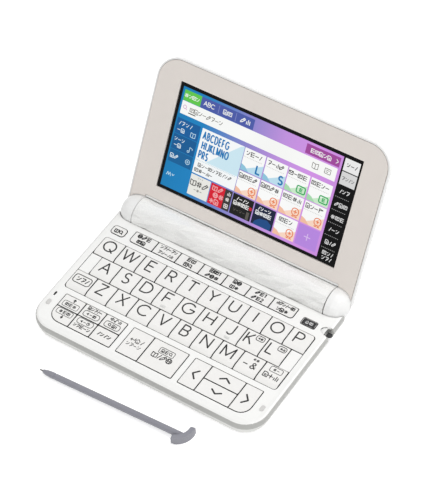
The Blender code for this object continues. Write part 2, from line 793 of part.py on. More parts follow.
def build_keys():
    white = plastic("key_plastic", 0xFAFAF8, 0.34)
    black = plastic("home_key_plastic", 0x1A1A1B, 0.3)
    shared = {}
    for name, left, right, front, rear, skirt, corner, radius, steps in key_table():
        width, depth = right - left, rear - front
        look = (round(width / mm, 3), round(depth / mm, 3), skirt, corner, name == "home")
        if look not in shared:
            shape = key_body(width, depth, skirt, corner, radius, steps)
            shared[look] = mesh_from(shape, f"key_cap_{len(shared) + 1}")
        key = place(f"key_{name}", shared[look], part_origin, black if name == "home" else white,
                    ((left + right) / 2, (front + rear) / 2, key_floor))
        half = stem_width / 2
        join(key, block(-half, half, -half, half, -stem_length, overlap_depth), "stem")
        if name in ("f", "j"):
            middle = skirt_depth - (depth - key_gap) / 2 - home_bar_drop
            level = key_thickness - skirt_drop * home_bar_drop / skirt_depth
            join(key, block(-home_bar_length / 2, home_bar_length / 2, middle - home_bar_width / 2,
                            middle + home_bar_width / 2, level - overlap_depth, level + home_bar_rise),
                 "home_bar")


def build_key_guide_plate():
    """Plate with one square hole for the stem of each key."""
    inset = deck_wall + guide_side_gap
    rear = barrel_front - deck_wall - guide_side_gap
    plate = prism(case_outline(inset, inset, rear), guide_bottom, guide_top)
    body = place("key_guide_plate", mesh_from(plate, "key_guide_plate"), part_origin,
                 plastic("guide_plate_plastic", 0x8B8F92, 0.55))
    holes = bmesh.new()
    half = stem_width / 2 + stem_gap
    for name, left, right, front, rear, *_ in key_table():
        x, y = (left + right) / 2, (front + rear) / 2
        hole = block(x - half, x + half, y - half, y + half, guide_bottom - cut_overrun,
                     guide_top + cut_overrun)
        merge_into(holes, hole)
    cut(body, holes, "stem_holes")
    cut(body, block(half_width - pocket_depth - guide_side_gap, half_width, pocket_front - guide_side_gap,
                    pocket_rear + cut_overrun, guide_bottom - cut_overrun, guide_top + cut_overrun),
        "pocket_notch")
    return body


def merge_into(target, shape):
    """Add one editing mesh to another."""
    mesh = mesh_from(shape, "part_of_cutter")
    target.from_mesh(mesh)
    bpy.data.meshes.remove(mesh)


# Centre barrel
def build_hinge_barrel():
    """Faceted tube, closed by end walls that carry the hinge pins; open below, where the cells lie."""
    rings = []
    for column in range(barrel_facet_columns + 1):
        x = -barrel_end + 2 * barrel_end * column / barrel_facet_columns
        inside = 0 < column < barrel_facet_columns
        ring = []
        for row in range(barrel_facet_rows):
            turn = row + (0.5 if column % 2 and inside else 0.0)
            angle = 2 * math.pi * turn / barrel_facet_rows
            radius = barrel_radius - (facet_relief if inside and (row + column) % 3 == 0 else 0)
            ring.append((x, radius * math.cos(angle), radius * math.sin(angle)))
        rings.append(ring)
    shape = loft(rings)
    bmesh.ops.triangulate(shape, faces=shape.faces)
    body = place("hinge_barrel", mesh_from(at_hinge(shape), "hinge_barrel"), part_origin,
                 plastic("barrel_plastic", 0xFBFBFA, 0.3))
    cut(body, at_hinge(cylinder(cell_bay_radius, -barrel_wall_end, barrel_wall_end, round_steps)), "cell_bay")
    cut(body, at_hinge(arc_sector(cell_bay_radius / 2, barrel_radius + cut_overrun, shell_end_angle,
                                  360 + shell_start_angle, -barrel_wall_end, barrel_wall_end, arc_steps)),
        "lower_opening")
    for name, side in (("left", -1), ("right", 1)):
        near, far = sorted((side * (barrel_end - overlap_depth), side * (barrel_end + hinge_pin_length)))
        join(body, at_hinge(cylinder(hinge_pin_radius, near, far, pin_steps)), f"{name}_pin")
    return body


def build_cells():
    """Two cells end to end, nub to base."""
    profile = []
    for start in (-cell_reach, 0):
        end = start + cell_length
        profile += [(start, cell_radius - cell_rim), (start + cell_rim, cell_radius),
                    (end - cell_rim, cell_radius), (end, cell_radius - cell_rim),
                    (end, cell_nub_radius), (end + cell_nub_length, cell_nub_radius)]
    profile = [(-cell_reach, 0)] + profile + [(cell_reach, 0)]
    return place("battery_cells", mesh_from(turned(profile, round_steps), "battery_cells"), part_origin,
                 plastic("cell_jacket", 0x3C4C8A, 0.35), (0, hinge_distance, hinge_height))


def build_battery_cover():
    """Curved cover under the rear of the barrel, drawn off to the rear."""
    body = place("battery_cover", mesh_from(
        arc_sector(cell_bay_radius, barrel_radius, cradle_end_angle + end_gap_angle, cover_end_angle,
                   -cover_half_length, cover_half_length, arc_steps), "battery_cover"),
        part_origin, plastic("battery_cover_plastic", 0xF2F2EF, 0.42), (0, hinge_distance, hinge_height))
    for rib in range(cover_rib_count):
        steps_from_middle = rib - (cover_rib_count - 1) / 2
        angle = math.radians(cover_rib_angle) + steps_from_middle * cover_rib_pitch / barrel_radius
        y, z = barrel_radius * math.cos(angle), barrel_radius * math.sin(angle)
        rib_shape = block(-cover_rib_length / 2, cover_rib_length / 2,
                          -cover_rib_width / 2, cover_rib_width / 2,
                          -overlap_depth, cover_rib_height)
        bmesh.ops.rotate(rib_shape, verts=rib_shape.verts,
                         matrix=Matrix.Rotation(angle - math.pi / 2, 3, "X"))
        join(body, moved(rib_shape, 0, y, z), f"grip_rib_{rib + 1}")
    return body


# Lid, modelled shut round its axis: forwards is -Y, bezel below, back above
def lid_outline(inset):
    """Plan outline of the lid, drawn in by inset."""
    corner = corner_radius - inset
    return rounded_outline(-lid_half_width + inset, lid_half_width - inset, -lid_reach + inset, -arm_start,
                           (corner, corner, 0, 0), (large_corner_steps, large_corner_steps, 1, 1))


def build_lid_back_shell():
    rings = [[(x, y, front_level) for x, y in lid_outline(0)]]
    for step in range(lid_edge_steps + 1):
        turn = math.radians(90 * step / lid_edge_steps)
        level = edge_level + (back_level - edge_level) * math.sin(turn)
        rings.append([(x, y, level) for x, y in lid_outline(lid_edge_inset * (1 - math.cos(turn)))])
    body = place("lid_back_shell", mesh_from(loft(rings), "lid_back_shell"), lid_axis,
                 plastic("lid_shell_plastic", 0xFAFAF8, 0.3))
    join(body, hinge_side(), "hinge_side")
    pocket = barrel_end + hinge_pin_length + fit_gap
    half = [(knuckle_start, lid_clear_radius), (knuckle_start, hinge_pin_radius + fit_gap),
            (pocket, hinge_pin_radius + fit_gap), (pocket, 0)]
    cut(body, turned(list(reversed(mirrored(half))) + half, round_steps), "barrel_room")
    cut(body, prism(bezel_outline(fit_gap), bezel_level - fit_gap, panel_level), "bezel_seat")
    lip = panel_lip + fit_gap
    cut(body, block(-display_half_width - lip, display_half_width + lip, -display_end - lip,
                    -display_hinge_margin + lip, bezel_level, panel_level + panel_thickness + fit_gap),
        "panel_seat")
    return body


def plate_back(x):
    """Height of the back of the flat lid plate, which rounds off towards its side edge."""
    share = min(max(1 - (lid_half_width - x) / lid_edge_inset, 0.0), 1.0)
    return edge_level + (back_level - edge_level) * math.sqrt(1 - share ** 2)


def hinge_side_section(x, radius, rise_radius):
    """Section of the lid at the hinge: the round of a knuckle with the rise of the back running into it."""
    inside = (front_level + back_level) / 2
    low = plate_back(abs(x)) - overlap_depth
    neck = min(front_level + overlap_depth, radius * arm_neck_share)
    start = math.radians(arm_top_angle)
    sweep = start + math.pi + math.asin(neck / radius)
    section = []
    for step in range(knuckle_round_steps + 1):
        angle = start - sweep * step / knuckle_round_steps
        section.append((x, radius * math.cos(angle), radius * math.sin(angle)))
    section += [(x, -swell_length, inside), (x, -swell_length, low)]
    for length_share, rise_share in swell_point_shares:
        section.append((x, -swell_length * length_share, low + max(rise_radius - low, 0) * rise_share))
    return section


def hinge_side():
    """Both knuckles and the rise of the back between them, as one lofted moulding."""
    half = [(knuckle_start - fit_gap, knuckle_radius * swell_middle_share, knuckle_radius),
            (knuckle_start + fit_gap, knuckle_radius, knuckle_radius)]
    half += [(x, radius, radius) for x, radius in dome_profile(0, knuckle_last_angle)]
    stations = [(-x, radius, rise) for x, radius, rise in reversed(half)] + half
    shape = loft([hinge_side_section(*station) for station in stations])
    bmesh.ops.triangulate(shape, faces=shape.faces)
    return shape


def bezel_outline(grow):
    """Outline of the bezel: rounded free corners, and feet that follow the domes of the knuckles."""
    half, reach = bezel_half_width + grow, bezel_reach + grow
    corner = corner_radius - rim_width - fit_gap + grow
    outline = corner_points((-half + corner, -reach + corner), corner, 180, large_corner_steps)
    outline += corner_points((half - corner, -reach + corner), corner, 270, large_corner_steps)
    first = knuckle_dome_start - grow
    foot = []
    for step in range(bezel_foot_steps + 1):
        x = half + (first - half) * step / bezel_foot_steps
        level = math.sqrt(max(dome_radius(x) ** 2 - bezel_level ** 2, 0)) + bezel_foot_gap
        foot.append((x, grow - level))
    foot.append((first - fit_gap, grow - bezel_start))
    return outline + foot + [(-x, y) for x, y in reversed(foot)]


def build_lid_bezel():
    body = place("lid_bezel", mesh_from(prism(bezel_outline(0), bezel_level, bezel_level + bezel_thickness),
                                        "lid_bezel"), lid_axis, plastic("bezel_plastic", 0xDBD6D1, 0.42))
    cut(body, block(-display_half_width, display_half_width, -display_end, -display_hinge_margin,
                    bezel_level - cut_overrun, bezel_level + bezel_thickness + cut_overrun), "window")
    return body


def build_display_panel():
    """Display module behind the bezel, with the glass standing into the window."""
    body = place("display_panel", mesh_from(
        block(-display_half_width - panel_lip, display_half_width + panel_lip, -display_end - panel_lip,
              -display_hinge_margin + panel_lip, panel_level, panel_level + panel_thickness),
        "display_panel"),
        lid_axis, plastic("display_glass", 0x0B0B0D, 0.08))
    join(body, block(-display_half_width + fit_gap, display_half_width - fit_gap, -display_end + fit_gap,
                     -display_hinge_margin - fit_gap, bezel_level + glass_recess,
                     panel_level + overlap_depth), "glass")
    return body


# Stylus
def build_stylus():
    """Turned point and shaft, with a hooked head that closes the slot."""
    groove_end = stylus_groove_start + stylus_groove_width
    profile = [
        (0, 0), (nib_radius / 2, nib_radius * cone_fullness_share), (nib_length, nib_radius),
        (nib_length, cone_start_radius),
        (nib_length + cone_length * cone_middle_share,
         cone_start_radius + (stylus_radius - cone_start_radius) * cone_fullness_share),
        (stylus_shoulder, stylus_radius), (stylus_groove_start, stylus_radius),
        (stylus_groove_start + stylus_groove_depth / 2, stylus_radius - stylus_groove_depth),
        (groove_end - stylus_groove_depth / 2, stylus_radius - stylus_groove_depth),
        (groove_end, stylus_radius),
        (stylus_shaft_end, stylus_radius), (stylus_shaft_end, 0),
    ]
    lift_length = stylus_shaft_end - head_arc_radius - stylus_shoulder
    lift = math.atan((head_width / 2 - stylus_radius) / lift_length)
    body = place("stylus", mesh_from(turned(profile, stylus_steps), "stylus"), part_origin,
                 plastic("stylus_plastic", 0x8E8E96, 0.5),
                 (stylus_tip_x, stylus_tip_y,
                  stylus_radius * math.cos(lift) - stylus_shoulder * math.sin(lift)))
    body.rotation_euler = (0, -lift, math.radians(stylus_angle))
    inner, outer = head_arc_radius - head_thickness / 2, head_arc_radius + head_thickness / 2
    angles = [math.radians(head_start_angle + (head_end_angle - head_start_angle) * step / head_steps)
              for step in range(head_steps + 1)]
    outline = [(outer * math.cos(a), outer * math.sin(a)) for a in angles]
    outline += [(inner * math.cos(a), inner * math.sin(a)) for a in reversed(angles)]
    head = prism(outline, -head_width / 2, head_width / 2)
    rims = [edge for edge in head.edges if abs(edge.verts[0].co.z - edge.verts[1].co.z) < overlap_depth]
    bmesh.ops.bevel(head, geom=rims, offset=head_edge, segments=1, profile=0.5, affect="EDGES", material=-1)
    join(body, moved(head, head_centre_along, head_centre_side, 0), "head")
    return body


def settle_origin():
    """Put the world origin in the middle of the underside of everything that is built."""
    bpy.context.view_layer.update()
    graph = bpy.context.evaluated_depsgraph_get()
    points = []
    for item in bpy.context.scene.objects:
        if item.type == "MESH" and not item.hide_render:
            solid = item.evaluated_get(graph)
            points += [solid.matrix_world @ vert.co for vert in solid.data.vertices]
    low = [min(point[axis] for point in points) for axis in range(3)]
    high = [max(point[axis] for point in points) for axis in range(3)]
    part_origin.location = (-(low[0] + high[0]) / 2, -(low[1] + high[1]) / 2, -low[2])
    bpy.context.view_layer.update()
    print("part origin in case coordinates, mm:", [round(-value / mm, 4) for value in part_origin.location])


build_bottom_case()
build_keyboard_deck()
build_key_guide_plate()
build_keys()
build_hinge_barrel()
build_cells()
build_battery_cover()
build_lid_back_shell()
build_lid_bezel()
build_display_panel()
build_stylus()
settle_origin()
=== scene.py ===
"""Looks of a pocket electronic dictionary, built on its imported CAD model.

The CAD nodes keep their shapes and get their finishes here. Key legends are thin layers of ink on the caps, and
the lit picture is a stack of thin layers on the display's glass. Drawing sizes are millimetres.
"""
import json
import math

import bmesh
import bpy
from mathutils import Matrix, Vector
from mathutils.geometry import delaunay_2d_cdt


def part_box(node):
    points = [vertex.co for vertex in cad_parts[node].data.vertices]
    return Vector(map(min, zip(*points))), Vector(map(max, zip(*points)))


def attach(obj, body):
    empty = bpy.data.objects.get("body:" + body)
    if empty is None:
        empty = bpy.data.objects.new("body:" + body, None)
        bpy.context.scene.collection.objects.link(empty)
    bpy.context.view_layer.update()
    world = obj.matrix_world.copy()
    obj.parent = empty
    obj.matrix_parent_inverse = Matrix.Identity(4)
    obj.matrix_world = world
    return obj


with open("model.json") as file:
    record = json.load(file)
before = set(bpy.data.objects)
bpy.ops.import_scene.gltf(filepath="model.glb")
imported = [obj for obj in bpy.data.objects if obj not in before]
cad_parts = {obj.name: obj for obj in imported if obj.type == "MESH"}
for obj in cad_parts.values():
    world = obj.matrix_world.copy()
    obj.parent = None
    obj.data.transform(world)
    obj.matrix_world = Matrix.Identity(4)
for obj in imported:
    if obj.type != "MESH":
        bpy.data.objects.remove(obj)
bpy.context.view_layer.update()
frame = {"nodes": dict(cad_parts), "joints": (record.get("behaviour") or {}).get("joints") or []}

mm = 0.001

# Places taken from the frame
front_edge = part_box("keyboard_deck")[0].y
hinge = Vector(next(joint["pos_m"] for joint in frame["joints"] if joint["name"] == "lid_hinge"))
lid_open = math.radians(120.1)
glass_level = 2.2  # face of the glass below the lid's closed centre plane
lid_axes = Matrix((
    (1, 0, 0),
    (0, -math.cos(lid_open), -math.sin(lid_open)),
    (0, math.sin(lid_open), -math.cos(lid_open)),
)).to_4x4()
lid_face = Matrix.Translation(hinge) @ lid_axes @ Matrix.Translation((0, 0, -glass_level * mm))

deck_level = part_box("key_enter")[1].z - 0.12 * mm  # flat keys stand this far out of the deck
ink_depth = 0.04
ink_sunk = 0.01
layer_step = 0.02
same_place = 0.01  # points closer than this are one point

# Facets of the barrel: length along it, degrees round it, greatest lean and greatest painted shade, and the degrees
# up from the rear between which they fade in
facet_pitch, facet_arc, facet_lean, facet_painted_shade = 9.5, 24, 0.5, 0.3
facet_start, facet_full = 85, 125


# Colours and finishes

def colour(code):
    """A six-digit sRGB code as linear red, green, blue and full alpha."""
    parts = [int(code[i:i + 2], 16) / 255 for i in (0, 2, 4)]
    return [p / 12.92 if p <= 0.04045 else ((p + 0.055) / 1.055) ** 2.4 for p in parts] + [1.0]


def add(tree, kind, sockets=(), **settings):
    """Adds one node; its settings are properties and its sockets are constants or links."""
    made = tree.nodes.new(kind)
    for key, value in settings.items():
        setattr(made, key, value)
    for key, value in dict(sockets).items():
        if isinstance(value, bpy.types.NodeSocket):
            tree.links.new(value, made.inputs[key])
        else:
            made.inputs[key].default_value = value
    return made


def new_material(name):
    """An empty node material, with its Principled shader and the Object coordinates."""
    material = bpy.data.materials.new(name)
    material.use_nodes = True
    tree = material.node_tree
    return material, tree, tree.nodes["Principled BSDF"], add(tree, "ShaderNodeTexCoord").outputs["Object"]


def facets(tree, place):
    """The barrel's low triangular facets: a lattice round the barrel whose triangles lean one by one, and each is
    darkened by its own painted shade, which fades in from the top towards the front.

    Gives the leaning normals and the painted shade of each facet.
    """
    def sum_of(kind, first, second=0.0):
        return add(tree, "ShaderNodeMath", {0: first, 1: second}, operation=kind).outputs[0]
    arm = add(tree, "ShaderNodeVectorMath", {0: place, 1: hinge}, operation="SUBTRACT").outputs[0]
    arm = add(tree, "ShaderNodeSeparateXYZ", {"Vector": arm}).outputs
    angle = sum_of("ARCTAN2", arm["Z"], arm["Y"])
    around = sum_of("DIVIDE", angle, math.radians(facet_arc))
    along = sum_of("ADD", sum_of("DIVIDE", arm["X"], facet_pitch * mm), sum_of("MULTIPLY", around, 0.5))
    half = sum_of("GREATER_THAN", sum_of("ADD", sum_of("FRACT", along), sum_of("FRACT", around)), 1.0)
    cell = add(tree, "ShaderNodeCombineXYZ", {"X": sum_of("FLOOR", along), "Y": sum_of("FLOOR", around), "Z": half})
    chance = add(tree, "ShaderNodeTexWhiteNoise", {"Vector": cell.outputs[0]}, noise_dimensions="3D")
    lean = add(tree, "ShaderNodeVectorMath", {0: chance.outputs["Color"], 1: (0.5, 0.5, 0.5)}, operation="SUBTRACT")
    depth = add(tree, "ShaderNodeMapRange", {"Value": angle, "From Min": math.radians(facet_start),
                                             "From Max": math.radians(facet_full)})
    strength = sum_of("MULTIPLY", depth.outputs["Result"], facet_lean)
    lean = add(tree, "ShaderNodeVectorMath", {0: lean.outputs[0], 3: strength}, operation="SCALE")
    shade = sum_of("MULTIPLY", sum_of("MULTIPLY", chance.outputs["Value"], depth.outputs["Result"]), facet_painted_shade)
    smooth = add(tree, "ShaderNodeNewGeometry").outputs["Normal"]
    leaning = add(tree, "ShaderNodeVectorMath", {0: smooth, 1: lean.outputs[0]}, operation="ADD").outputs[0]
    return add(tree, "ShaderNodeVectorMath", {0: leaning}, operation="NORMALIZE").outputs[0], shade


def moulded(name, tone, darker, roughness, grain, depth, flow=14, ior=1.53, specular=0.5, coat=0.0,
            faceted=False):
    """Injection-moulded plastic: an eroded grain in the skin and a slow change of tone from the melt's flow."""
    material, tree, shader, place = new_material(name)
    slow = add(tree, "ShaderNodeTexNoise", {"Vector": place, "Scale": 1 / (flow * mm), "Detail": 2.0})
    fine = add(tree, "ShaderNodeTexNoise", {"Vector": place, "Scale": 1 / (grain * mm), "Detail": 3.0,
                                            "Roughness": 0.6})
    tones = add(tree, "ShaderNodeMix", {0: slow.outputs["Fac"], 6: colour(tone), 7: colour(darker)},
                data_type="RGBA")
    gloss = add(tree, "ShaderNodeMapRange", {"Value": fine.outputs["Fac"], "To Min": roughness - 0.05,
                                             "To Max": roughness + 0.07})
    relief = add(tree, "ShaderNodeBump", {"Height": fine.outputs["Fac"], "Distance": depth * mm, "Strength": 1.0})
    tree.links.new(tones.outputs[2], shader.inputs["Base Color"])
    tree.links.new(gloss.outputs["Result"], shader.inputs["Roughness"])
    tree.links.new(relief.outputs["Normal"], shader.inputs["Normal"])
    if faceted:
        leaning, shade = facets(tree, place)
        tree.links.new(leaning, relief.inputs["Normal"])
        # Painted shade: each facet's colour darkens towards grey by its own amount.
        tones = add(tree, "ShaderNodeMix", {0: shade, 6: tones.outputs[2], 7: colour("A0A09D")}, data_type="RGBA")
        tree.links.new(tones.outputs[2], shader.inputs["Base Color"])
    shader.inputs["IOR"].default_value = ior
    shader.inputs["Specular IOR Level"].default_value = specular
    shader.inputs["Coat Weight"].default_value = coat
    return material


# Deck: white ABS from a lightly eroded mould, satin. The grain, 0.15 mm in life, is drawn at 0.5 mm to show.
deck_abs = moulded("deck_white_eroded_abs", "EFEFED", "EAEAE8", 0.42, 0.5, 0.012)
# Caps: white ABS with a clear hard coat, smoother than the deck and a touch warmer.
cap_abs = moulded("keycap_white_coated_abs", "EDECEA", "E8E7E4", 0.36, 0.6, 0.006)
# Shell and knuckles: polished white ABS.
shell_abs = moulded("shell_white_polished_abs", "EFEFEE", "EBEBEA", 0.34, 0.8, 0.003, coat=0.05)
# Barrel: the same white ABS; its low facets lean and catch the light one by one, and each also has painted shade.
barrel_abs = moulded("barrel_white_faceted_abs", "F7F7F5", "F3F3F1", 0.26, 0.8, 0.003, coat=0.15,
                     faceted=True)
# Bottom case: off-white ABS, satin.
case_abs = moulded("case_light_grey_abs", "E6E6E3", "E0E0DD", 0.46, 0.5, 0.015)
# Bezel: fine satin paint on ABS, warm pinkish grey; paint levels, so the grain is shallow.
bezel_paint = moulded("bezel_satin_paint", "E3DCD6", "DED7D1", 0.5, 0.35, 0.006)
# Home cap pad: black ABS, satin.
black_abs = moulded("keycap_black_abs", "101011", "171718", 0.38, 0.5, 0.008)
# Guide plate below the caps: plain dark grey ABS.
inner_abs = moulded("inner_grey_abs", "4A4A4C", "424244", 0.6, 0.7, 0.01)
# Stylus: mid grey ABS, satin, with a drawn-out flow along the shaft.
stylus_abs = moulded("stylus_grey_abs", "8C8C94", "83838C", 0.36, 0.4, 0.01, flow=6)
# Cells: printed shrink sleeve over steel.
cell_sleeve = moulded("cell_printed_sleeve", "2C4A86", "263F74", 0.3, 1.2, 0.01)
# Display cover: black-masked touch glass with a matt film, which keeps reflections low.
cover_glass = moulded("display_masked_glass", "030304", "050506", 0.2, 1.5, 0.0005, specular=0.1)
# Legends: pad-printed ink, matt.
dark_ink = moulded("legend_dark_ink", "0C0C0C", "131312", 0.6, 0.3, 0.004, flow=2)
grey_ink = moulded("legend_grey_ink", "101010", "181817", 0.6, 0.3, 0.004, flow=2)
white_ink = moulded("legend_white_ink", "DADADA", "D0D0D0", 0.6, 0.3, 0.004, flow=2)

node_finishes = {
    "bottom_case": case_abs,
    "keyboard_deck": deck_abs,
    "key_guide_plate": inner_abs,
    "hinge_barrel": barrel_abs,
    "battery_cells": cell_sleeve,
    "battery_cover": shell_abs,
    "lid_back_shell": shell_abs,
    "lid_bezel": bezel_paint,
    "display_panel": cover_glass,
    "stylus": stylus_abs,
}


def tint(material, code, low=(None,) * 3, high=(None,) * 3, facing=()):
    """Gives a material another colour between two corners, in metres, and only on faces turned one way if asked."""
    tree = material.node_tree
    shader = tree.nodes["Principled BSDF"]
    place = next(n for n in tree.nodes if n.bl_idname == "ShaderNodeTexCoord")
    spot = add(tree, "ShaderNodeSeparateXYZ", {"Vector": place.outputs["Object"]})
    tests = [(spot.outputs[i], limit, "GREATER_THAN") for i, limit in enumerate(low)]
    tests += [(spot.outputs[i], limit, "LESS_THAN") for i, limit in enumerate(high)]
    lean = add(tree, "ShaderNodeSeparateXYZ", {"Vector": place.outputs["Normal"]})
    tests += [(lean.outputs[axis], limit, kind) for axis, kind, limit in facing]
    inside = None
    for value, limit, kind in tests:
        if limit is not None:
            test = add(tree, "ShaderNodeMath", {0: value, 1: limit}, operation=kind).outputs[0]
            inside = test if inside is None else add(tree, "ShaderNodeMath", {0: inside, 1: test},
                                                     operation="MULTIPLY").outputs[0]
    own = shader.inputs["Base Color"].links[0].from_socket
    tones = add(tree, "ShaderNodeMix", {0: inside, 6: own, 7: colour(code)}, data_type="RGBA")
    tree.links.new(tones.outputs[2], shader.inputs["Base Color"])


# The deck's outer wall is grey below its rounded edge, the two bumpers are grey rubber, and the lamp slot has
# painted shade, near black inside.
# The walls of the gaps round the caps, which little light reaches, have painted shade in dark grey, the rear ones
# paler, and the right and front faces of the caps have the same painted shade.
bumper_x, bumper_y = 67.8 * mm, (13.7, 17.7)
lamp_slot_x, lamp_slot_y = (-70.4, -68.9), (20.7, 24.1)
tint(deck_abs, "AFAFAC", high=(None, None, deck_level - 0.5 * mm))
tint(deck_abs, "EFEFED", (-70 * mm, front_edge + 5 * mm, None), (70 * mm, None, None))
tint(deck_abs, "EFEFED", (66 * mm, front_edge + 60 * mm, None), (71.9 * mm, None, None))
for side in (-1, 1):
    ends = sorted((side * bumper_x, side * (bumper_x + 2.8 * mm)))
    tint(deck_abs, "CBCAC8", (ends[0], front_edge + bumper_y[0] * mm, deck_level + 0.03 * mm),
         (ends[1], front_edge + bumper_y[1] * mm, None))
# Painted shade inside the lamp slot.
tint(deck_abs, "101010", (lamp_slot_x[0] * mm, front_edge + lamp_slot_y[0] * mm, None),
     (lamp_slot_x[1] * mm, front_edge + lamp_slot_y[1] * mm, deck_level - 0.04 * mm))
field_low = (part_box("key_power")[0].x - 1.2 * mm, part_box("key_back")[0].y - 1.2 * mm, None)
field_high = (-field_low[0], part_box("key_power")[1].y + 4 * mm, deck_level - 0.02 * mm)
# Painted shade on the walls of the gaps, paler on the rear walls.
tint(deck_abs, "303031", field_low, field_high, (("Z", "LESS_THAN", 0.4),))
tint(deck_abs, "A8A8A6", field_low, field_high, (("Y", "LESS_THAN", -0.7),))
# Painted shade on the right and front faces of the caps.
tint(cap_abs, "242425", facing=(("X", "GREATER_THAN", 0.35),))
tint(cap_abs, "242425", facing=(("Y", "LESS_THAN", -0.45),))
skirt_foot = deck_level - 0.4 * mm  # lowest strip of the skirts, in the shade of the next row of caps
tint(cap_abs, "3C3C3C", (None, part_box("key_a")[0].y - 1 * mm, None), (None, None, skirt_foot),
     (("Y", "LESS_THAN", -0.2),))
# The raised bars on the F and J keys stay pale.
for name in ("key_f", "key_j"):
    low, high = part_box(name)
    middle = (low.x + high.x) / 2
    tint(cap_abs, "D8D8D6", (middle - 1.65 * mm, low.y + 1.4 * mm, deck_level - 0.1 * mm),
         (middle + 1.65 * mm, low.y + 3 * mm, None))
# The lid's back is painted a little darker than its rim, painted shade that keeps it from glaring white under the
# lamps, and the stylus's nib is brown grey.
nib_root = -49
# Painted shade on the lid's back.
tint(shell_abs, "E0E0DE", facing=(("Y", "GREATER_THAN", 0.6), ("Z", "LESS_THAN", -0.2)))
tint(stylus_abs, "6E6C6A", high=(nib_root * mm, None, None))
# The feet are dark rubber, and the stylus slot, earphone jack, cable socket and card slot have painted shade, dark
# inside. Their boxes give left, right, front, rear, foot and head.
feet_height = 0.39
painted_shade_rooms = ((-68, 73.2, 72.9, 79.5, 1, 6.3), (-73, -60, 55.8, 60.2, 1.3, 5.5),
              (-73, -66, 40.9, 49.1, 1.8, 5), (66, 73, 35.9, 48.1, 2.6, 4.2))
tint(case_abs, "4C4C4F", high=(None, None, feet_height * mm))
# Painted shade inside the slots and sockets.
for left, right, front, rear, foot, head in painted_shade_rooms:
    tint(case_abs, "29292B", (left * mm, front_edge + front * mm, foot * mm),
         (right * mm, front_edge + rear * mm, head * mm))

for name, cad_object in frame["nodes"].items():
    for surface in cad_object.material_slots:
        surface.material = node_finishes.get(name, cap_abs)


def lit(name):
    """A lit LCD under glass: the light comes from the picture, and the cover adds only a faint gloss."""
    material, tree, shader, place = new_material(name)
    shader.inputs["Base Color"].default_value = colour("050505")
    shader.inputs["Roughness"].default_value = 0.25
    shader.inputs["Specular IOR Level"].default_value = 0.15
    shader.inputs["Emission Strength"].default_value = 0.95
    even = add(tree, "ShaderNodeTexNoise", {"Vector": place, "Scale": 1 / (25 * mm), "Detail": 1.0})
    level = add(tree, "ShaderNodeMapRange", {"Value": even.outputs["Fac"], "To Min": 0.96, "To Max": 1.04})
    return material, tree, shader, place, level.outputs["Result"]


def lit_marks():
    """Lit picture elements, each face in the colour of its 'tone' attribute."""
    material, tree, shader, _, level = lit("display_lit_marks")
    tone = add(tree, "ShaderNodeAttribute", attribute_name="tone")
    scaled = add(tree, "ShaderNodeVectorMath", {0: tone.outputs["Color"], 3: level}, operation="SCALE")
    tree.links.new(scaled.outputs["Vector"], shader.inputs["Emission Color"])
    return material


def lit_backdrop():
    """The picture's background, blue at the left to violet at the right."""
    material, tree, shader, place, level = lit("display_lit_backdrop")
    split = add(tree, "ShaderNodeSeparateXYZ", {"Vector": place})
    across = add(tree, "ShaderNodeMapRange", {"Value": split.outputs["X"], "From Min": picture[0] * mm,
                                              "From Max": picture[1] * mm})
    ramp = add(tree, "ShaderNodeValToRGB", {"Fac": across.outputs["Result"]})
    stops = ((0.0, "0A7CB8"), (0.17, "1482C2"), (0.3, "5C84C8"), (0.45, "8F86CE"), (0.65, "C393E2"),
             (0.85, "D493E8"), (1.0, "CE90E2"))
    ramp.color_ramp.elements[0].color = colour(stops[0][1])
    ramp.color_ramp.elements[1].color = colour(stops[-1][1])
    for share, code in stops[1:-1]:
        ramp.color_ramp.elements.new(share).color = colour(code)
    scaled = add(tree, "ShaderNodeVectorMath", {0: ramp.outputs["Color"], 3: level}, operation="SCALE")
    tree.links.new(scaled.outputs["Vector"], shader.inputs["Emission Color"])
    return material


# Flat drawing: every drawn thing is a list of polygons in millimetres

def line(points, width, round_ends=False):
    """A stroke of even width: a bar along each stretch and a disc on each joint."""
    shapes = []
    points = [p for p, before in zip(points, [None] + points[:-1]) if before is None
              or (Vector(p) - Vector(before)).length > same_place]
    for start, end in zip(points, points[1:]):
        run = Vector(end) - Vector(start)
        side = Vector((-run.y, run.x)).normalized() * width / 2
        shapes.append([Vector(start) - side, Vector(end) - side, Vector(end) + side, Vector(start) + side])
    ends = points if round_ends else points[1:-1]
    for point in ends:
        shapes.append(ellipse(point[0], point[1], width / 2, width / 2, steps=8))
    return shapes


def ellipse(x, y, across, up, steps=20):
    return [Vector((x + across * math.cos(2 * math.pi * i / steps), y + up * math.sin(2 * math.pi * i / steps)))
            for i in range(steps)]


def rectangle(left, right, low, high, corner=0.0, steps=4):
    """A filled rectangle, its corners rounded where a corner radius is given."""
    if not corner:
        return [Vector((left, low)), Vector((right, low)), Vector((right, high)), Vector((left, high))]
    points = []
    for x, y, start in ((right - corner, low + corner, -90), (right - corner, high - corner, 0),
                        (left + corner, high - corner, 90), (left + corner, low + corner, 180)):
        for i in range(steps + 1):
            turn = math.radians(start + 90 * i / steps)
            points.append(Vector((x + corner * math.cos(turn), y + corner * math.sin(turn))))
    return points


def outline(left, right, low, high, corner, width):
    """The outline of a rounded rectangle, drawn as a closed stroke."""
    points = rectangle(left, right, low, high, corner)
    return line(points + points[:2], width)


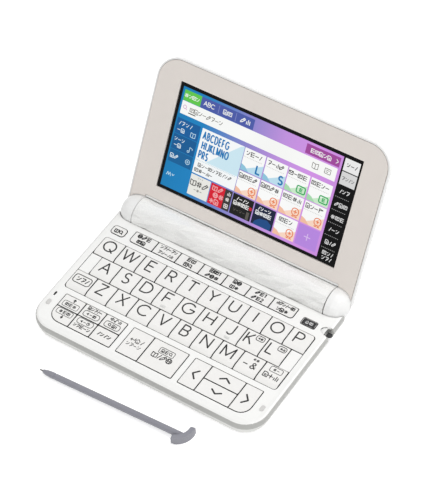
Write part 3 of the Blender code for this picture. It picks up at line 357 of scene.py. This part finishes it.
# Letters and signs as strokes in a square of cap height 1. Points are x,y; @ starts an arc given by its centre,
# its two radii, and its start and end angles; | starts a new stroke; # fills the path.
strokes = {
    "A": "0,0 .42,1 .84,0|.15,.35 .69,.35",
    "B": "0,0 0,1 .36,1 @.36,.765,.235,.235,90,-90 0,.53|.38,.53 @.38,.265,.265,.265,90,-90 0,0",
    "C": "@.53,.5,.53,.5,42,318",
    "D": "0,0 0,1 .36,1 @.36,.5,.5,.5,90,-90 0,0",
    "E": ".6,0 0,0 0,1 .6,1|0,.52 .54,.52",
    "F": "0,0 0,1 .6,1|0,.5 .52,.5",
    "G": "@.53,.5,.53,.5,42,345 1.05,.46 .62,.46",
    "H": "0,0 0,1|.76,0 .76,1|0,.5 .76,.5",
    "I": "0,0 0,1",
    "J": ".5,1 .5,.28 @.25,.27,.25,.27,0,-150",
    "K": "0,0 0,1|.58,1 0,.38|.2,.55 .62,0",
    "L": "0,1 0,0 .54,0",
    "M": "0,0 0,1 .48,.12 .96,1 .96,0",
    "N": "0,0 0,1 .76,0 .76,1",
    "O": "@.52,.5,.52,.5,0,360",
    "P": "0,0 0,1 .36,1 @.36,.72,.28,.28,90,-90 0,.44",
    "Q": "@.52,.5,.52,.5,0,360|.6,.3 1.0,-.04",
    "R": "0,0 0,1 .34,1 @.34,.73,.27,.27,90,-90 0,.46|.3,.46 .64,0",
    "S": "@.3,.745,.25,.245,35,270 @.3,.25,.28,.25,90,-145",
    "T": ".38,0 .38,1|0,1 .76,1",
    "U": "0,1 0,.37 @.38,.37,.38,.37,180,360 .76,1",
    "V": "0,1 .4,0 .8,1",
    "W": "0,1 .32,0 .62,1 .92,0 1.24,1",
    "X": "0,0 .74,1|0,1 .74,0",
    "Y": "0,1 .38,.47 .76,1|.38,.47 .38,0",
    "Z": "0,1 .68,1 0,0 .72,0",
    "&": ".8,0 .2,.68 @.4,.8,.22,.2,200,-40 .18,.44 @.3,.23,.28,.23,125,290 .78,.4",
    "-": "0,.4 .62,.4",
    "1": "0,.8 .3,1 .3,0",
    "2": "@.3,.72,.28,.28,160,-30 0,0 .62,0",
    "plus": "0,.5 1,.5|.5,0 .5,1",
    "book": "0,.08 0,.92 .5,.8 1,.92 1,.08 .5,0 0,.08|.5,0 .5,.8",
    "list": "0,.05 1,.05|0,.5 1,.5|0,.95 1,.95|.2,.05 .2,.95",
    "grid": "0,0 0,1 1,1 1,0 0,0|.5,0 .5,1|0,.5 1,.5",
    "window": "0,0 0,1 1,1 1,0 0,0|0,.66 1,.66|.5,0 .5,.66",
    "lens": "@.42,.58,.38,.38,0,360|.7,.3 1,0",
    "house": "0,.5 .5,1 1,.5|.14,.4 .14,0 .86,0 .86,.4|.5,0 .5,.4",
    "pen": "0,0 .12,.36 .76,1 1,.76 .36,.12 0,0|.55,.8 .8,.55",
    "globe": "@.5,.5,.5,.5,0,360|0,.5 1,.5|@.5,.5,.22,.5,0,360",
    "speaker": "0,.34 .3,.34 .6,.05 .6,.95 .3,.66 0,.66 0,.34|@.6,.5,.38,.38,-50,50",
    "clock": "@.5,.5,.5,.5,0,360|.5,.85 .5,.48 .78,.4",
    "card": "0,.1 0,.9 1,.9 1,.1 0,.1|.2,.64 .8,.64|.2,.36 .6,.36",
    "turn": "1,.95 1,.4 .1,.4|.38,.7 .08,.4 .38,.1",
    "mail": "0,.1 0,.9 1,.9 1,.1 0,.1|0,.9 .5,.42 1,.9",
    "note": "@.22,.16,.2,.16,0,360|.42,.16 .42,1 .95,.86 .95,.6",
    "flag": ".1,0 .1,1 1,.8 .1,.55",
    "hash": ".3,0 .4,1|.65,0 .75,1|0,.32 1,.32|0,.68 1,.68",
    "star": ".5,0 .5,1|.07,.25 .93,.75|.07,.75 .93,.25",
    "page": "0,0 0,1 .62,1 .9,.72 .9,0 0,0|.22,.5 .68,.5|.22,.25 .68,.25",
    "tick": "0,.7 .3,.9|.1,.1 .5,.2 .85,.85",
    "hook": "0,.95 .8,.95 .7,.5 .2,0|.45,.6 .45,.3",
    "bars": ".15,0 .15,.6|.5,0 .5,1|.85,0 .85,.8",
    "dash": "0,.5 .9,.5",
    "slash": ".1,0 .55,1",
    "arrow_up": "#.05,.5 .5,1 .95,.5 .68,.5 .68,0 .32,0 .32,.5",
    "arrow_down": "#.05,.5 .32,.5 .32,1 .68,1 .68,.5 .95,.5 .5,0",
    "point_left": "#0,.5 .8,0 .8,1",
    "gear": "@.5,.5,.42,.42,0,360|@.5,.5,.12,.12,0,360",
    "face": "@.5,.5,.5,.5,0,360|.3,.35 .7,.35",
}


def path_points(text):
    """Points of one stroke, its arcs cut into short stretches."""
    points = []
    for word in text.split():
        numbers = [float(part) for part in word.lstrip("@").split(",")]
        if word[0] != "@":
            points.append(Vector(numbers))
            continue
        x, y, across, up, start, end = numbers
        steps = max(4, round(abs(end - start) / 18))
        for i in range(steps + 1):
            turn = math.radians(start + (end - start) * i / steps)
            points.append(Vector((x + across * math.cos(turn), y + up * math.sin(turn))))
    return points


def sign(name, left, low, height, width, stretch=1.0):
    """One letter or sign, its left end and foot at the given place."""
    shapes = []
    for text in strokes[name].split("|"):
        points = [Vector((left + p.x * height * stretch, low + p.y * height)) for p in path_points(text.lstrip("#"))]
        if text[0] == "#":
            shapes.append(points)
        elif text.startswith("@") and text.count("@") == 1 and (points[0] - points[-1]).length < 1e-3:
            shapes += line(points + points[1:2], width)
        else:
            shapes += line(points, width)
    return shapes


def sign_width(name, stretch=1.0):
    xs = [p.x for text in strokes[name].split("|") for p in path_points(text.lstrip("#"))]
    return (max(xs) - min(xs)) * stretch


def row(names, x, y, height, width, gap=0.35, stretch=1.0):
    """A row of signs, centred on x and y."""
    names = names.split() if " " in names or names in strokes else list(names)
    widths = [sign_width(name, stretch) * height for name in names]
    left = x - (sum(widths) + gap * (len(names) - 1)) / 2
    shapes = []
    for name, wide in zip(names, widths):
        shapes += sign(name, left, y - height / 2, height, width, stretch)
        left += wide + gap
    return shapes


def holds(shape, x, y):
    """Whether a polygon holds a point."""
    inside = False
    for a, b in zip(shape, shape[1:] + shape[:1]):
        if (a.y > y) != (b.y > y) and x < a.x + (b.x - a.x) * (y - a.y) / (b.y - a.y):
            inside = not inside
    return inside


def one_outline(shapes, holes=()):
    """Joins polygons that overlap, so that no two faces of a layer lie on each other, and leaves out the holes."""
    corners, loops, reach = [], [], []
    for shape in (*shapes, *holes):
        loops.append(list(range(len(corners), len(corners) + len(shape))))
        corners += [Vector(corner) for corner in shape]
        xs, ys = zip(*shape)
        reach.append((shape, min(xs), max(xs), min(ys), max(ys)))
    points, _, faces, _, _, _ = delaunay_2d_cdt(corners, [], loops, 0, 1e-5, False)
    kept = []
    for face in faces:
        middle = sum((points[i] for i in face), Vector((0, 0))) / len(face)
        found = [number for number, (shape, left, right, low, high) in enumerate(reach)
                 if left < middle.x < right and low < middle.y < high and holds(shape, *middle)]
        if found and found[-1] < len(shapes):
            kept.append(face)
    return points, kept


def add_layer(shape, shapes, low, high, tone=None, holes=()):
    """Adds one flat layer to a bmesh, from the low to the high level, its faces in one tone."""
    points, faces = one_outline(shapes, holes)
    layer = bmesh.new()
    corners = [layer.verts.new((p.x, p.y, low)) for p in points]
    for face in faces:
        layer.faces.new([corners[i] for i in face])
    bmesh.ops.delete(layer, geom=[v for v in layer.verts if not v.link_faces], context="VERTS")
    bmesh.ops.dissolve_limit(layer, angle_limit=0.001, verts=layer.verts, edges=layer.edges)
    bmesh.ops.recalc_face_normals(layer, faces=layer.faces)
    base = list(layer.faces)
    for face in base:
        if face.normal.z > 0:
            face.normal_flip()
    raised = bmesh.ops.extrude_face_region(layer, geom=base, use_keep_orig=True)["geom"]
    bmesh.ops.translate(layer, vec=(0, 0, high - low), verts=[v for v in raised if isinstance(v, bmesh.types.BMVert)])
    bmesh.ops.recalc_face_normals(layer, faces=layer.faces)
    if tone:
        attribute = layer.faces.layers.float_color.new("tone")
        for face in layer.faces:
            face[attribute] = colour(tone)
    mesh = bpy.data.meshes.new("layer")
    layer.to_mesh(mesh)
    layer.free()
    shape.from_mesh(mesh)
    bpy.data.meshes.remove(mesh)


def finish_piece(name, shape, placing, body, material):
    """Turns a bmesh in millimetres into a piece in place, riding on its body."""
    mesh = bpy.data.meshes.new(name)
    shape.transform(placing @ Matrix.Scale(mm, 4))
    shape.to_mesh(mesh)
    shape.free()
    mesh.materials.append(material)
    piece = bpy.data.objects.new(name, mesh)
    bpy.context.scene.collection.objects.link(piece)
    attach(piece, body)


# Key legends

letter_height = 7.0
letter_width = 0.84
letter_shift = -0.6  # letters stand a little left of the middle of their caps
skirt = 2.9  # sloping front of a letter cap
legend_shift_rear = 0.1


def key_middle(node):
    low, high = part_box(node)
    return (low.x + high.x) / 2 / mm, ((low.y + high.y) / 2 - front_edge) / mm, high.z


def legend(node, inks):
    """Prints the legend of one key; inks are lists of polygons about the middle of the cap, the lowest first."""
    x, y, top = key_middle(node)
    placing = Matrix.Translation((x * mm, y * mm + front_edge, top))
    for number, (shapes, material) in enumerate(inks):
        shape = bmesh.new()
        add_layer(shape, shapes, -ink_sunk, ink_depth * (number + 1))
        finish_piece(f"legend_{node[4:]}" + (f"_{number + 1}" if number else ""), shape, placing, node,
                     material)


letter_rows = ("qwertyuiop", "asdfghjkl", "zxcvbnm")
for letters in letter_rows:
    for letter in letters:
        x = {"k": -2.8, "l": -2.9}.get(letter, letter_shift)
        inks = [(row(letter.upper(), x, skirt / 2 + legend_shift_rear, letter_height, letter_width), dark_ink)]
        if letter in "kl":
            box = outline(0.3, 5.1, 2.4, 5.6, 1.0, 0.4)
            inks.append((box + row("point_left hash" if letter == "k" else "star bars", 2.7, 4.0, 1.5, 0.36),
                         grey_ink))
        legend(f"key_{letter}", inks)

bold, plain, thin = 0.6, 0.53, 0.47
key_legends = {
    "power": [(row("book lens", 0, -.3, 2.4, bold, .5), grey_ink)],
    "function_1": [(row("globe pen list", -.9, 2.0, 2.4, bold, .5) + row("card page", -.9, -1.6, 2.3, bold, .6),
                    grey_ink)],
    "function_2": [(row("tick hook slash dash hook tick", 0.3, 2.0, 2.0, thin, .3)
                    + row("hook tick dash slash bars", 0.1, -1.6, 2.0, thin, .45), dark_ink)],
    "function_3": [(row("list book", 0, 2.0, 2.3, bold, .6) + row("window lens", 0, -1.6, 2.3, bold, .6),
                    grey_ink)],
    "function_4": [(row("grid card 1", .4, 2.0, 2.3, bold, .5) + row("pen globe hash", .4, -1.6, 2.3, bold, .5),
                    grey_ink)],
    "function_5": [(row("page globe", -.4, 2.0, 2.3, bold, .5) + row("book star", -.4, -1.6, 2.3, bold, .5),
                    grey_ink)],
    "function_6": [(row("pen list 1", -.5, 2.0, 2.2, bold, .6) + row("pen list 2", -.5, -1.6, 2.2, bold, .6),
                    grey_ink)],
    "function_7": [(row("bars hook tick slash dash card", .2, 2.0, 2.0, plain, .35)
                    + row("tick page star", -.1, -1.6, 2.2, bold, .5), grey_ink)],
    "home": [([rectangle(-4.0, 4.0, -2.05, 2.05, .4)], black_abs),
             (row("house card", 0, 0, 1.8, .3, .7), white_ink)],
    "shift": [(outline(-5.4, 5.4, -1.4, 4.2, 1.6, .5) + row("tick hook slash", 0, 1.4, 2.8, .58, .6), dark_ink)],
    "hyphen": [(row("-", -2.6, .4, 4.4, .62) + row("&", 2.2, .4, 3.8, .62), dark_ink),
               (row("star hash", 1.6, 4.5, 1.6, .3, .5), grey_ink)],
    "delete": [(outline(-3.1, 4.3, 2.5, 5.9, .8, .34) + row("hash dash", .6, 4.2, 1.6, .34, .5)
                + row("page plus bars", -.4, -.5, 3.0, .5, .35), dark_ink)],
    "scroll_up": [(row("arrow_up", .2, 2.4, 2.4, .3) + outline(-5, 5, -3.2, .6, 1.0, .3)
                   + row("card list hash", 0, -1.3, 1.9, .4, .5), grey_ink)],
    "scroll_down": [(row("arrow_down", .2, -1.0, 2.2, .3) + outline(-5, 5, .5, 4.2, 1.0, .3)
                     + row("hash list card", 0, 2.35, 1.9, .4, .5), grey_ink)],
    "character_size": [(row("page tick hook slash dash", 0, 2.6, 1.9, thin, .35), grey_ink),
                       (outline(-5, 5, -3.1, .7, 1.4, .34) + row("point_left dash card", -.2, -1.2, 1.7, .36, .7),
                        dark_ink)],
    "history": [(outline(-5, 5, .5, 4.2, 1.4, .34) + row("point_left dash clock", -.2, 2.35, 1.7, .36, .7)
                 + row("tick hook list dash tick", 0, -1.3, 2.0, thin, .4), dark_ink)],
    "voice": [(row("speaker note bars", -.2, 2.7, 2.0, .42, .6), dark_ink),
              (outline(-4.8, 4.8, -3.1, .7, 1.4, .34) + row("lens page I", 0, -1.2, 1.9, .4, .8), dark_ink)],
    "jump": [(row("slash tick slash tick", 0, .5, 2.3, bold, .7), dark_ink)],
    "back": [(row("turn house slash", -.4, 2.2, 2.8, .42, .6) + row("tick hook dash tick", -.4, -1.4, 2.2, .36, .5),
              dark_ink)],
    "enter": [(outline(-4.6, 4.6, 2.0, 5.8, .8, .34) + row("page list lens", 0, 3.9, 2.0, .4, .5)
               + row("book slash pen globe", -.6, -.3, 3.2, .5, .45), dark_ink)],
    "arrow_left": [(line([(1.3, 2.9), (-1.3, 0), (1.3, -2.9)], .95, True), dark_ink)],
    "arrow_right": [(line([(-1.3, 2.9), (1.3, 0), (-1.3, -2.9)], .95, True), dark_ink)],
    "arrow_up": [(line([(-3, -.6), (0, 1.3), (3, -.6)], .95, True), dark_ink)],
    "arrow_down": [(line([(-3, 1.0), (0, -.9), (3, 1.0)], .95, True), dark_ink)],
}
for key, inks in key_legends.items():
    legend(f"key_{key}", inks)

# Case screws, in the four wells of the underside

screw_steel = moulded("screw_zinc_plated_steel", "8C8D90", "808185", 0.34, 0.3, 0.003, flow=1)
screw_steel.node_tree.nodes["Principled BSDF"].inputs["Metallic"].default_value = 1.0
well_floor = 1.8
well_places = ((-57, 23), (57, 23), (-57, 67.6), (57, 67.6))
for number, (x, y) in enumerate(well_places):
    cross = [rectangle(-1.2, 1.2, -.25, .25), rectangle(-.25, .25, -1.2, 1.2)]
    head = bmesh.new()
    for radius, low, high, holes in ((2.1, 1.35, well_floor + ink_sunk, ()), (2.1, 1.05, 1.35, cross),
                                     (1.9, .9, 1.05, cross)):
        add_layer(head, [ellipse(0, 0, radius, radius, 32)], low, high, holes=holes)
    finish_piece(f"case_screw_{number + 1}", head, Matrix.Translation((x * mm, y * mm + front_edge, 0)),
                 "base", screw_steel)

# Lit picture on the display

picture = (-56.1, 46.3, 20.5, 80.4)
backdrop_shape = bmesh.new()
add_layer(backdrop_shape, [rectangle(*picture)], -ink_sunk, layer_step)
finish_piece("display_backdrop", backdrop_shape, lid_face, "lid", lit_backdrop())

marks = bmesh.new()


def mark(level, tone, *groups):
    """Draws one tone of the picture, its layer one step higher for each level."""
    shapes = [shape for group in groups for shape in group]
    add_layer(marks, shapes, -ink_sunk, layer_step * (level + 1), tone)


def dotted(left, right, v, pitch=1.0, wide=0.5, tall=0.16):
    count = int((right - left) / pitch)
    return [rectangle(left + i * pitch, left + i * pitch + wide, v - tall, v + tall) for i in range(count)]


# Tabs and search bar
mark(1, "5FC84A", [rectangle(-54.8, -43.7, 72.7, 79.0)])
mark(1, "4A5AA8", [rectangle(-43.7, -9.4, 72.7, 79.0)])
mark(1, "A0489C", [rectangle(23.7, 45.0, 73.4, 79.0)])
mark(1, "FBFCFA", [rectangle(-54.8, 44.6, 64.8, 72.5)])
mark(2, "F4F6F4", row("hash tick card tick", -49.6, 75.9, 2.2, .36, .4), row("ABC", -38.3, 75.9, 2.4, .4, .5),
     row("page card", -26.4, 75.9, 2.5, .4, .6), row("pen bars", -15.2, 75.9, 2.8, .5, .6),
     row("list card page tick page", 33.0, 76.1, 2.3, .4, .5), line([(42.6, 77.4), (43.9, 76.2), (42.6, 75.0)], .36))
mark(2, "8890C8", [rectangle(-32.2, -31.9, 73.4, 78.3), rectangle(-21.2, -20.9, 73.4, 78.3)])
mark(2, "D8A8D0", row("lens", -52.4, 69.0, 2.6, .4))
mark(2, "706E66", row("card page tick dash pen hook dash tick", -38.5, 68.8, 2.5, .36, .45),
     row("book card", 35.5, 68.7, 3.6, .34, 4.2))
mark(2, "5A5A52", [rectangle(-49.8, -45.0, 66.3, 66.9)])

# Menu at the left
mark(1, "0A5C9C", [rectangle(-55.2, -40.2, 52.8, 62.1)])
mark(1, "075A94", [rectangle(-55.2, -40.2, 43.5, 52.5)])
mark(1, "086098", [rectangle(-55.2, -40.2, 35.7, 43.2)])
mark(2, "E4F2F8", row("slash hook tick slash", -49.6, 59.4, 2.2, .34, .9),
     row("dash page", -51.6, 55.4, 2.2, .36, .5),
     row("tick dash tick", -51.0, 49.8, 2.0, .34, .6), row("dash page", -51.6, 46.3, 2.2, .36, .5),
     row("page pen", -51.9, 39.5, 2.3, .4, .5))
mark(2, "BFE0F0", row("book", -43.6, 55.4, 3.0, .34), row("note", -43.4, 46.5, 3.2, .34),
     row("gear", -43.2, 39.4, 3.2, .36),
     line([(-54.0, 27.4), (-53.2, 29.4), (-52.6, 27.8), (-51.8, 29.4), (-51.2, 27.4)], .4),
     line([(-50.6, 29.2), (-49.8, 28.2), (-49.0, 29.2)], .4))

# Large tile
mark(1, "F8FBFC", [rectangle(-38.8, -11.3, 35.3, 62.1)])
mark(2, "CDE9F4", [[Vector((-32.0, 43.9)), Vector((-11.3, 43.9)), Vector((-11.3, 62.1)), Vector((-13.5, 61.2))]])
mark(3, "1C78B8", row("ABCDEFG", -29.0, 58.3, 4.2, .8, 1.0, .46), row("HIJKLMNO", -28.2, 52.6, 4.2, .8, 1.0, .46),
     row("PRS", -34.6, 46.9, 4.2, .8, 1.0, .46))
mark(3, "9CC8DA", dotted(-38.4, -11.6, 43.4))
mark(3, "2A2A28", row("page tick dash card tick hook list slash tick pen", -25.4, 40.9, 2.0, .34, .5),
     row("card hash dash bars dash", -32.0, 37.6, 2.2, .36, .4))

# Small tiles: a header above a dotted line, and two tinted slopes and a sign below it
columns = ((-10.9, 2.5), (3.2, 16.6), (17.3, 30.6), (31.5, 44.8))
tile_rows = ((48.9, 62.1, 56.9), (35.3, 48.3, 43.3), (22.2, 34.5, 29.3))
headers = (("tick list dash slash", "hook dash bars pen", "mail dash card list", "card list tick dash"),
           ("page card list pen", "page card pen hash", "card list hash bars", "page tick dash flag"))
blue, green, peach = ("BDE0F0", "8FC6DE", "1878B4"), ("CBECCB", "A8DDB0", "22A85A"), ("FBD9C4", "F5C0A4", "E8743C")


def tile(left, right, low, high, split, tones, header, icon):
    mark(1, "FCFDFC", [rectangle(left, right, low, high)])
    mark(2, tones[0], [[Vector((left, low)), Vector((right, low)), Vector((right, split - 1.0))]])
    mark(3, tones[1], [[Vector((left, low)), Vector((left + 5.4, low)), Vector((left + 2.6, low + 2.6)),
                        Vector((left, low + 3.6))]])
    mark(2, "B8B8B4", dotted(left + 0.3, right - 0.2, split))
    mark(2, "2E2E2C", row(header, (left + right) / 2 - 0.6, (split + high) / 2, 2.5, .42, .5))
    mark(4, tones[2], icon(right - 3.2, low + 3.4))


def letter_icon(letter):
    return lambda x, v: row(letter, x + .6, v + .2, 4.6, 1.0)


def card_icon(x, v):
    return outline(x - 2.8, x + 2.4, v - 1.9, v + 2.0, .8, .7) + row("list", x - .2, v, 1.8, .5)


def disc_icon(x, v):
    return outline(x - 2.1, x + 2.0, v - 1.6, v + 2.6, 1.7, .5) + row("plus", x, v + .5, 2.2, .5) \
        + row("dash dash", x, v - 2.3, 1.6, .6, .5)


icons = ((letter_icon("L"), letter_icon("S"), card_icon, card_icon), (disc_icon,) * 4)
for r, (low, high, split) in enumerate(tile_rows[:2]):
    for c, (left, right) in enumerate(columns):
        tones = peach if r else (blue if c < 2 else green)
        tile(left, right, low, high, split, tones, headers[r][c], icons[r][c])

# Lowest row: a pale tile, a red and black one, a black one, a navy one, one more sloped tile and a lilac one
low, high, split = tile_rows[2]
tile(*columns[2], low, high, split, peach, "card list tick", disc_icon)
mark(1, "ECECE6", [rectangle(-38.8, -25.9, low, high)])
mark(2, "4A4A48", row("book hash pen", -32.6, 29.8, 3.4, .5, .5))
mark(2, "8A8A86", row("dash hash dash", -32.6, 26.0, 1.5, .34, .5), row("tick dash tick", -32.6, 33.2, 1.0, .2, .4))
mark(1, "D8142C", [rectangle(-25.4, -16.2, low, high)])
mark(1, "3A3634", [rectangle(-16.2, -11.5, low, high)])
mark(2, "F2A8AC", row("book pen", -20.9, 32.0, 2.8, .5, .8), row("globe hash", -19.6, 28.2, 2.8, .5, .8),
     row("star page", -21.6, 24.4, 2.8, .5, .8))
mark(2, "E8E4E0", row("bars", -13.8, 32.2, 2.2, .4), row("hash", -13.8, 28.8, 2.2, .4),
     row("grid", -13.8, 24.8, 2.2, .4))
mark(1, "121212", [rectangle(*columns[0], low, high)])
mark(2, "F0F0EE", row("slash dash slash tick", -4.6, 32.2, 2.0, .4, .7),
     row("page hash card list", -4.8, 29.4, 2.2, .42, .4))
mark(2, "C02030", [rectangle(0.2, 2.2, 28.4, 30.4, .8)])
mark(2, "5A5650", row("tick dash tick dash", -5.2, 25.4, 1.6, .34, .6), [rectangle(-.6, 1.2, 22.6, 27.0)])
mark(1, "101C3C", [rectangle(*columns[1], low, high)])
mark(2, "184A86", [[Vector((4.4, low)), Vector((15.4, low)), Vector((15.6, low + 3.4)), Vector((12.6, low + 5.2)),
                    Vector((8.0, low + 4.4)), Vector((5.4, low + 2.4))]])
mark(3, "F0F2F4", row("slash tick dash tick", 9.6, 32.4, 1.9, .4, .7),
     row("page hash card list", 9.6, 29.6, 2.2, .42, .4))
mark(1, "B888E2", [rectangle(*columns[3], low, high)])
mark(2, "DCC0F0", row("plus", 38.0, 28.4, 4.0, .5))

# Soft keys at the right of the picture: two pale ones, then dark ones between dotted lines
soft_left, soft_right = 47.4, 56.8
mark(1, "EDEDED", [rectangle(soft_left, soft_right, 73.1, 80.3)])
mark(1, "D9D9D9", [rectangle(soft_left, soft_right, 65.1, 72.5)])
mark(2, "3C3C3C", row("tick dash slash", 52.1, 76.8, 2.2, .44, .6))
mark(2, "6E6E6E", row("hook tick slash tick", 52.0, 68.8, 2.0, .36, .5))
soft_signs = ((61.4, "slash tick hook"), (53.6, "pen page card"), (45.9, "hash card list"), (38.6, "slash dash tick"),
              (30.9, "page slash pen"), (24.6, "card tick slash"), (21.6, "tick hook slash"))
mark(1, "DEDEDE", *[row(names, 52.0, v, 2.2, .38, .6) for v, names in soft_signs])
mark(1, "A0A0A0", *[dotted(soft_left, soft_right, v, 1.1, .55, .16) for v in (57.7, 50.0, 42.4, 34.9, 27.3)])
finish_piece("display_picture", marks, lid_face, "lid", lit_marks())

# Floor, background and lights

floor_size = 3.0
floor_glow, soft_strength, seen_strength = 0.46, 0.6, 1.0


def seen_directly(tree):
    """1 on rays that look at a thing, mirror it or pass through glass to it, and 0 on rays that only light."""
    rays = add(tree, "ShaderNodeLightPath").outputs
    seen = rays["Is Camera Ray"]
    for kind in ("Is Glossy Ray", "Is Transmission Ray"):
        seen = add(tree, "ShaderNodeMath", {0: seen, 1: rays[kind]}, operation="MAXIMUM").outputs[0]
    return seen


floor_shape = bmesh.new()
bmesh.ops.create_grid(floor_shape, x_segments=1, y_segments=1, size=floor_size)
floor_mesh = bpy.data.meshes.new("floor")
floor_shape.to_mesh(floor_mesh)
floor_shape.free()
floor = bpy.data.objects.new("floor", floor_mesh)
bpy.context.scene.collection.objects.link(floor)
# Floor: matt white card. To the camera and in gloss it glows a little, so that it meets the white background.
paper, tree, shader, _ = new_material("floor_white_card")
shader.inputs["Base Color"].default_value = colour("EDEDED")
shader.inputs["Roughness"].default_value = 0.9
shader.inputs["Specular IOR Level"].default_value = 0.0
glow = add(tree, "ShaderNodeMath", {0: seen_directly(tree), 1: floor_glow}, operation="MULTIPLY")
shader.inputs["Emission Color"].default_value = colour("FFFFFF")
tree.links.new(glow.outputs[0], shader.inputs["Emission Strength"])
floor_mesh.materials.append(paper)

world = bpy.data.worlds.new("studio")
bpy.context.scene.world = world
world.use_nodes = True
tree = world.node_tree
tree.nodes.clear()
soft = add(tree, "ShaderNodeBackground", {"Color": colour("FFFFFF"), "Strength": soft_strength})
white = add(tree, "ShaderNodeBackground", {"Color": colour("FFFFFF"), "Strength": seen_strength})
mixed = add(tree, "ShaderNodeMixShader", {0: seen_directly(tree), 1: soft.outputs[0], 2: white.outputs[0]})
add(tree, "ShaderNodeOutputWorld", {"Surface": mixed.outputs[0]})


def softbox(name, place, target, size, power):
    """A square softbox that faces a target."""
    lamp = bpy.data.lights.new(name, "AREA")
    lamp.size = size
    lamp.energy = power
    holder = bpy.data.objects.new(name, lamp)
    holder.location = place
    holder.rotation_euler = (Vector(target) - Vector(place)).to_track_quat("-Z", "Y").to_euler()
    bpy.context.scene.collection.objects.link(holder)


softbox("softbox_overhead_right", (0.7, 0.9, 1.64), (0, 0, 0.02), 1.2, 19.5)
softbox("softbox_front_right", (0.6, -1.58, 1.08), (0, 0, 0.02), 1.2, 10)

# Camera, fitted to the photograph

turn, tilt, roll = (math.radians(angle) for angle in (36.835, 50.325, -4.669))
camera_target = Vector((-2.185, 24.837, 22.05)) * mm
camera_distance = 1254.733 * mm
photo_width, focal_pixels = 445, 2296.997  # pixels
forward = Vector((-math.sin(turn) * math.cos(tilt), math.cos(turn) * math.cos(tilt), -math.sin(tilt)))
level = Vector((math.cos(turn), math.sin(turn), 0))
upright = level.cross(forward)
across = math.cos(roll) * level + math.sin(roll) * upright
upward = -math.sin(roll) * level + math.cos(roll) * upright
camera_data = bpy.data.cameras.new("photo_camera")
camera_data.sensor_fit = "HORIZONTAL"
camera_data.sensor_width = 36
camera_data.lens = camera_data.sensor_width * focal_pixels / photo_width
camera_data.clip_start = 0.05
camera_data.clip_end = 20
camera = bpy.data.objects.new("photo_camera", camera_data)
bpy.context.scene.collection.objects.link(camera)
place = camera_target - forward * camera_distance
camera.matrix_world = Matrix((
    (across.x, upward.x, -forward.x, place.x),
    (across.y, upward.y, -forward.y, place.y),
    (across.z, upward.z, -forward.z, place.z),
    (0, 0, 0, 1),
))
bpy.context.scene.camera = camera
bpy.context.scene.view_settings.view_transform = "Standard"
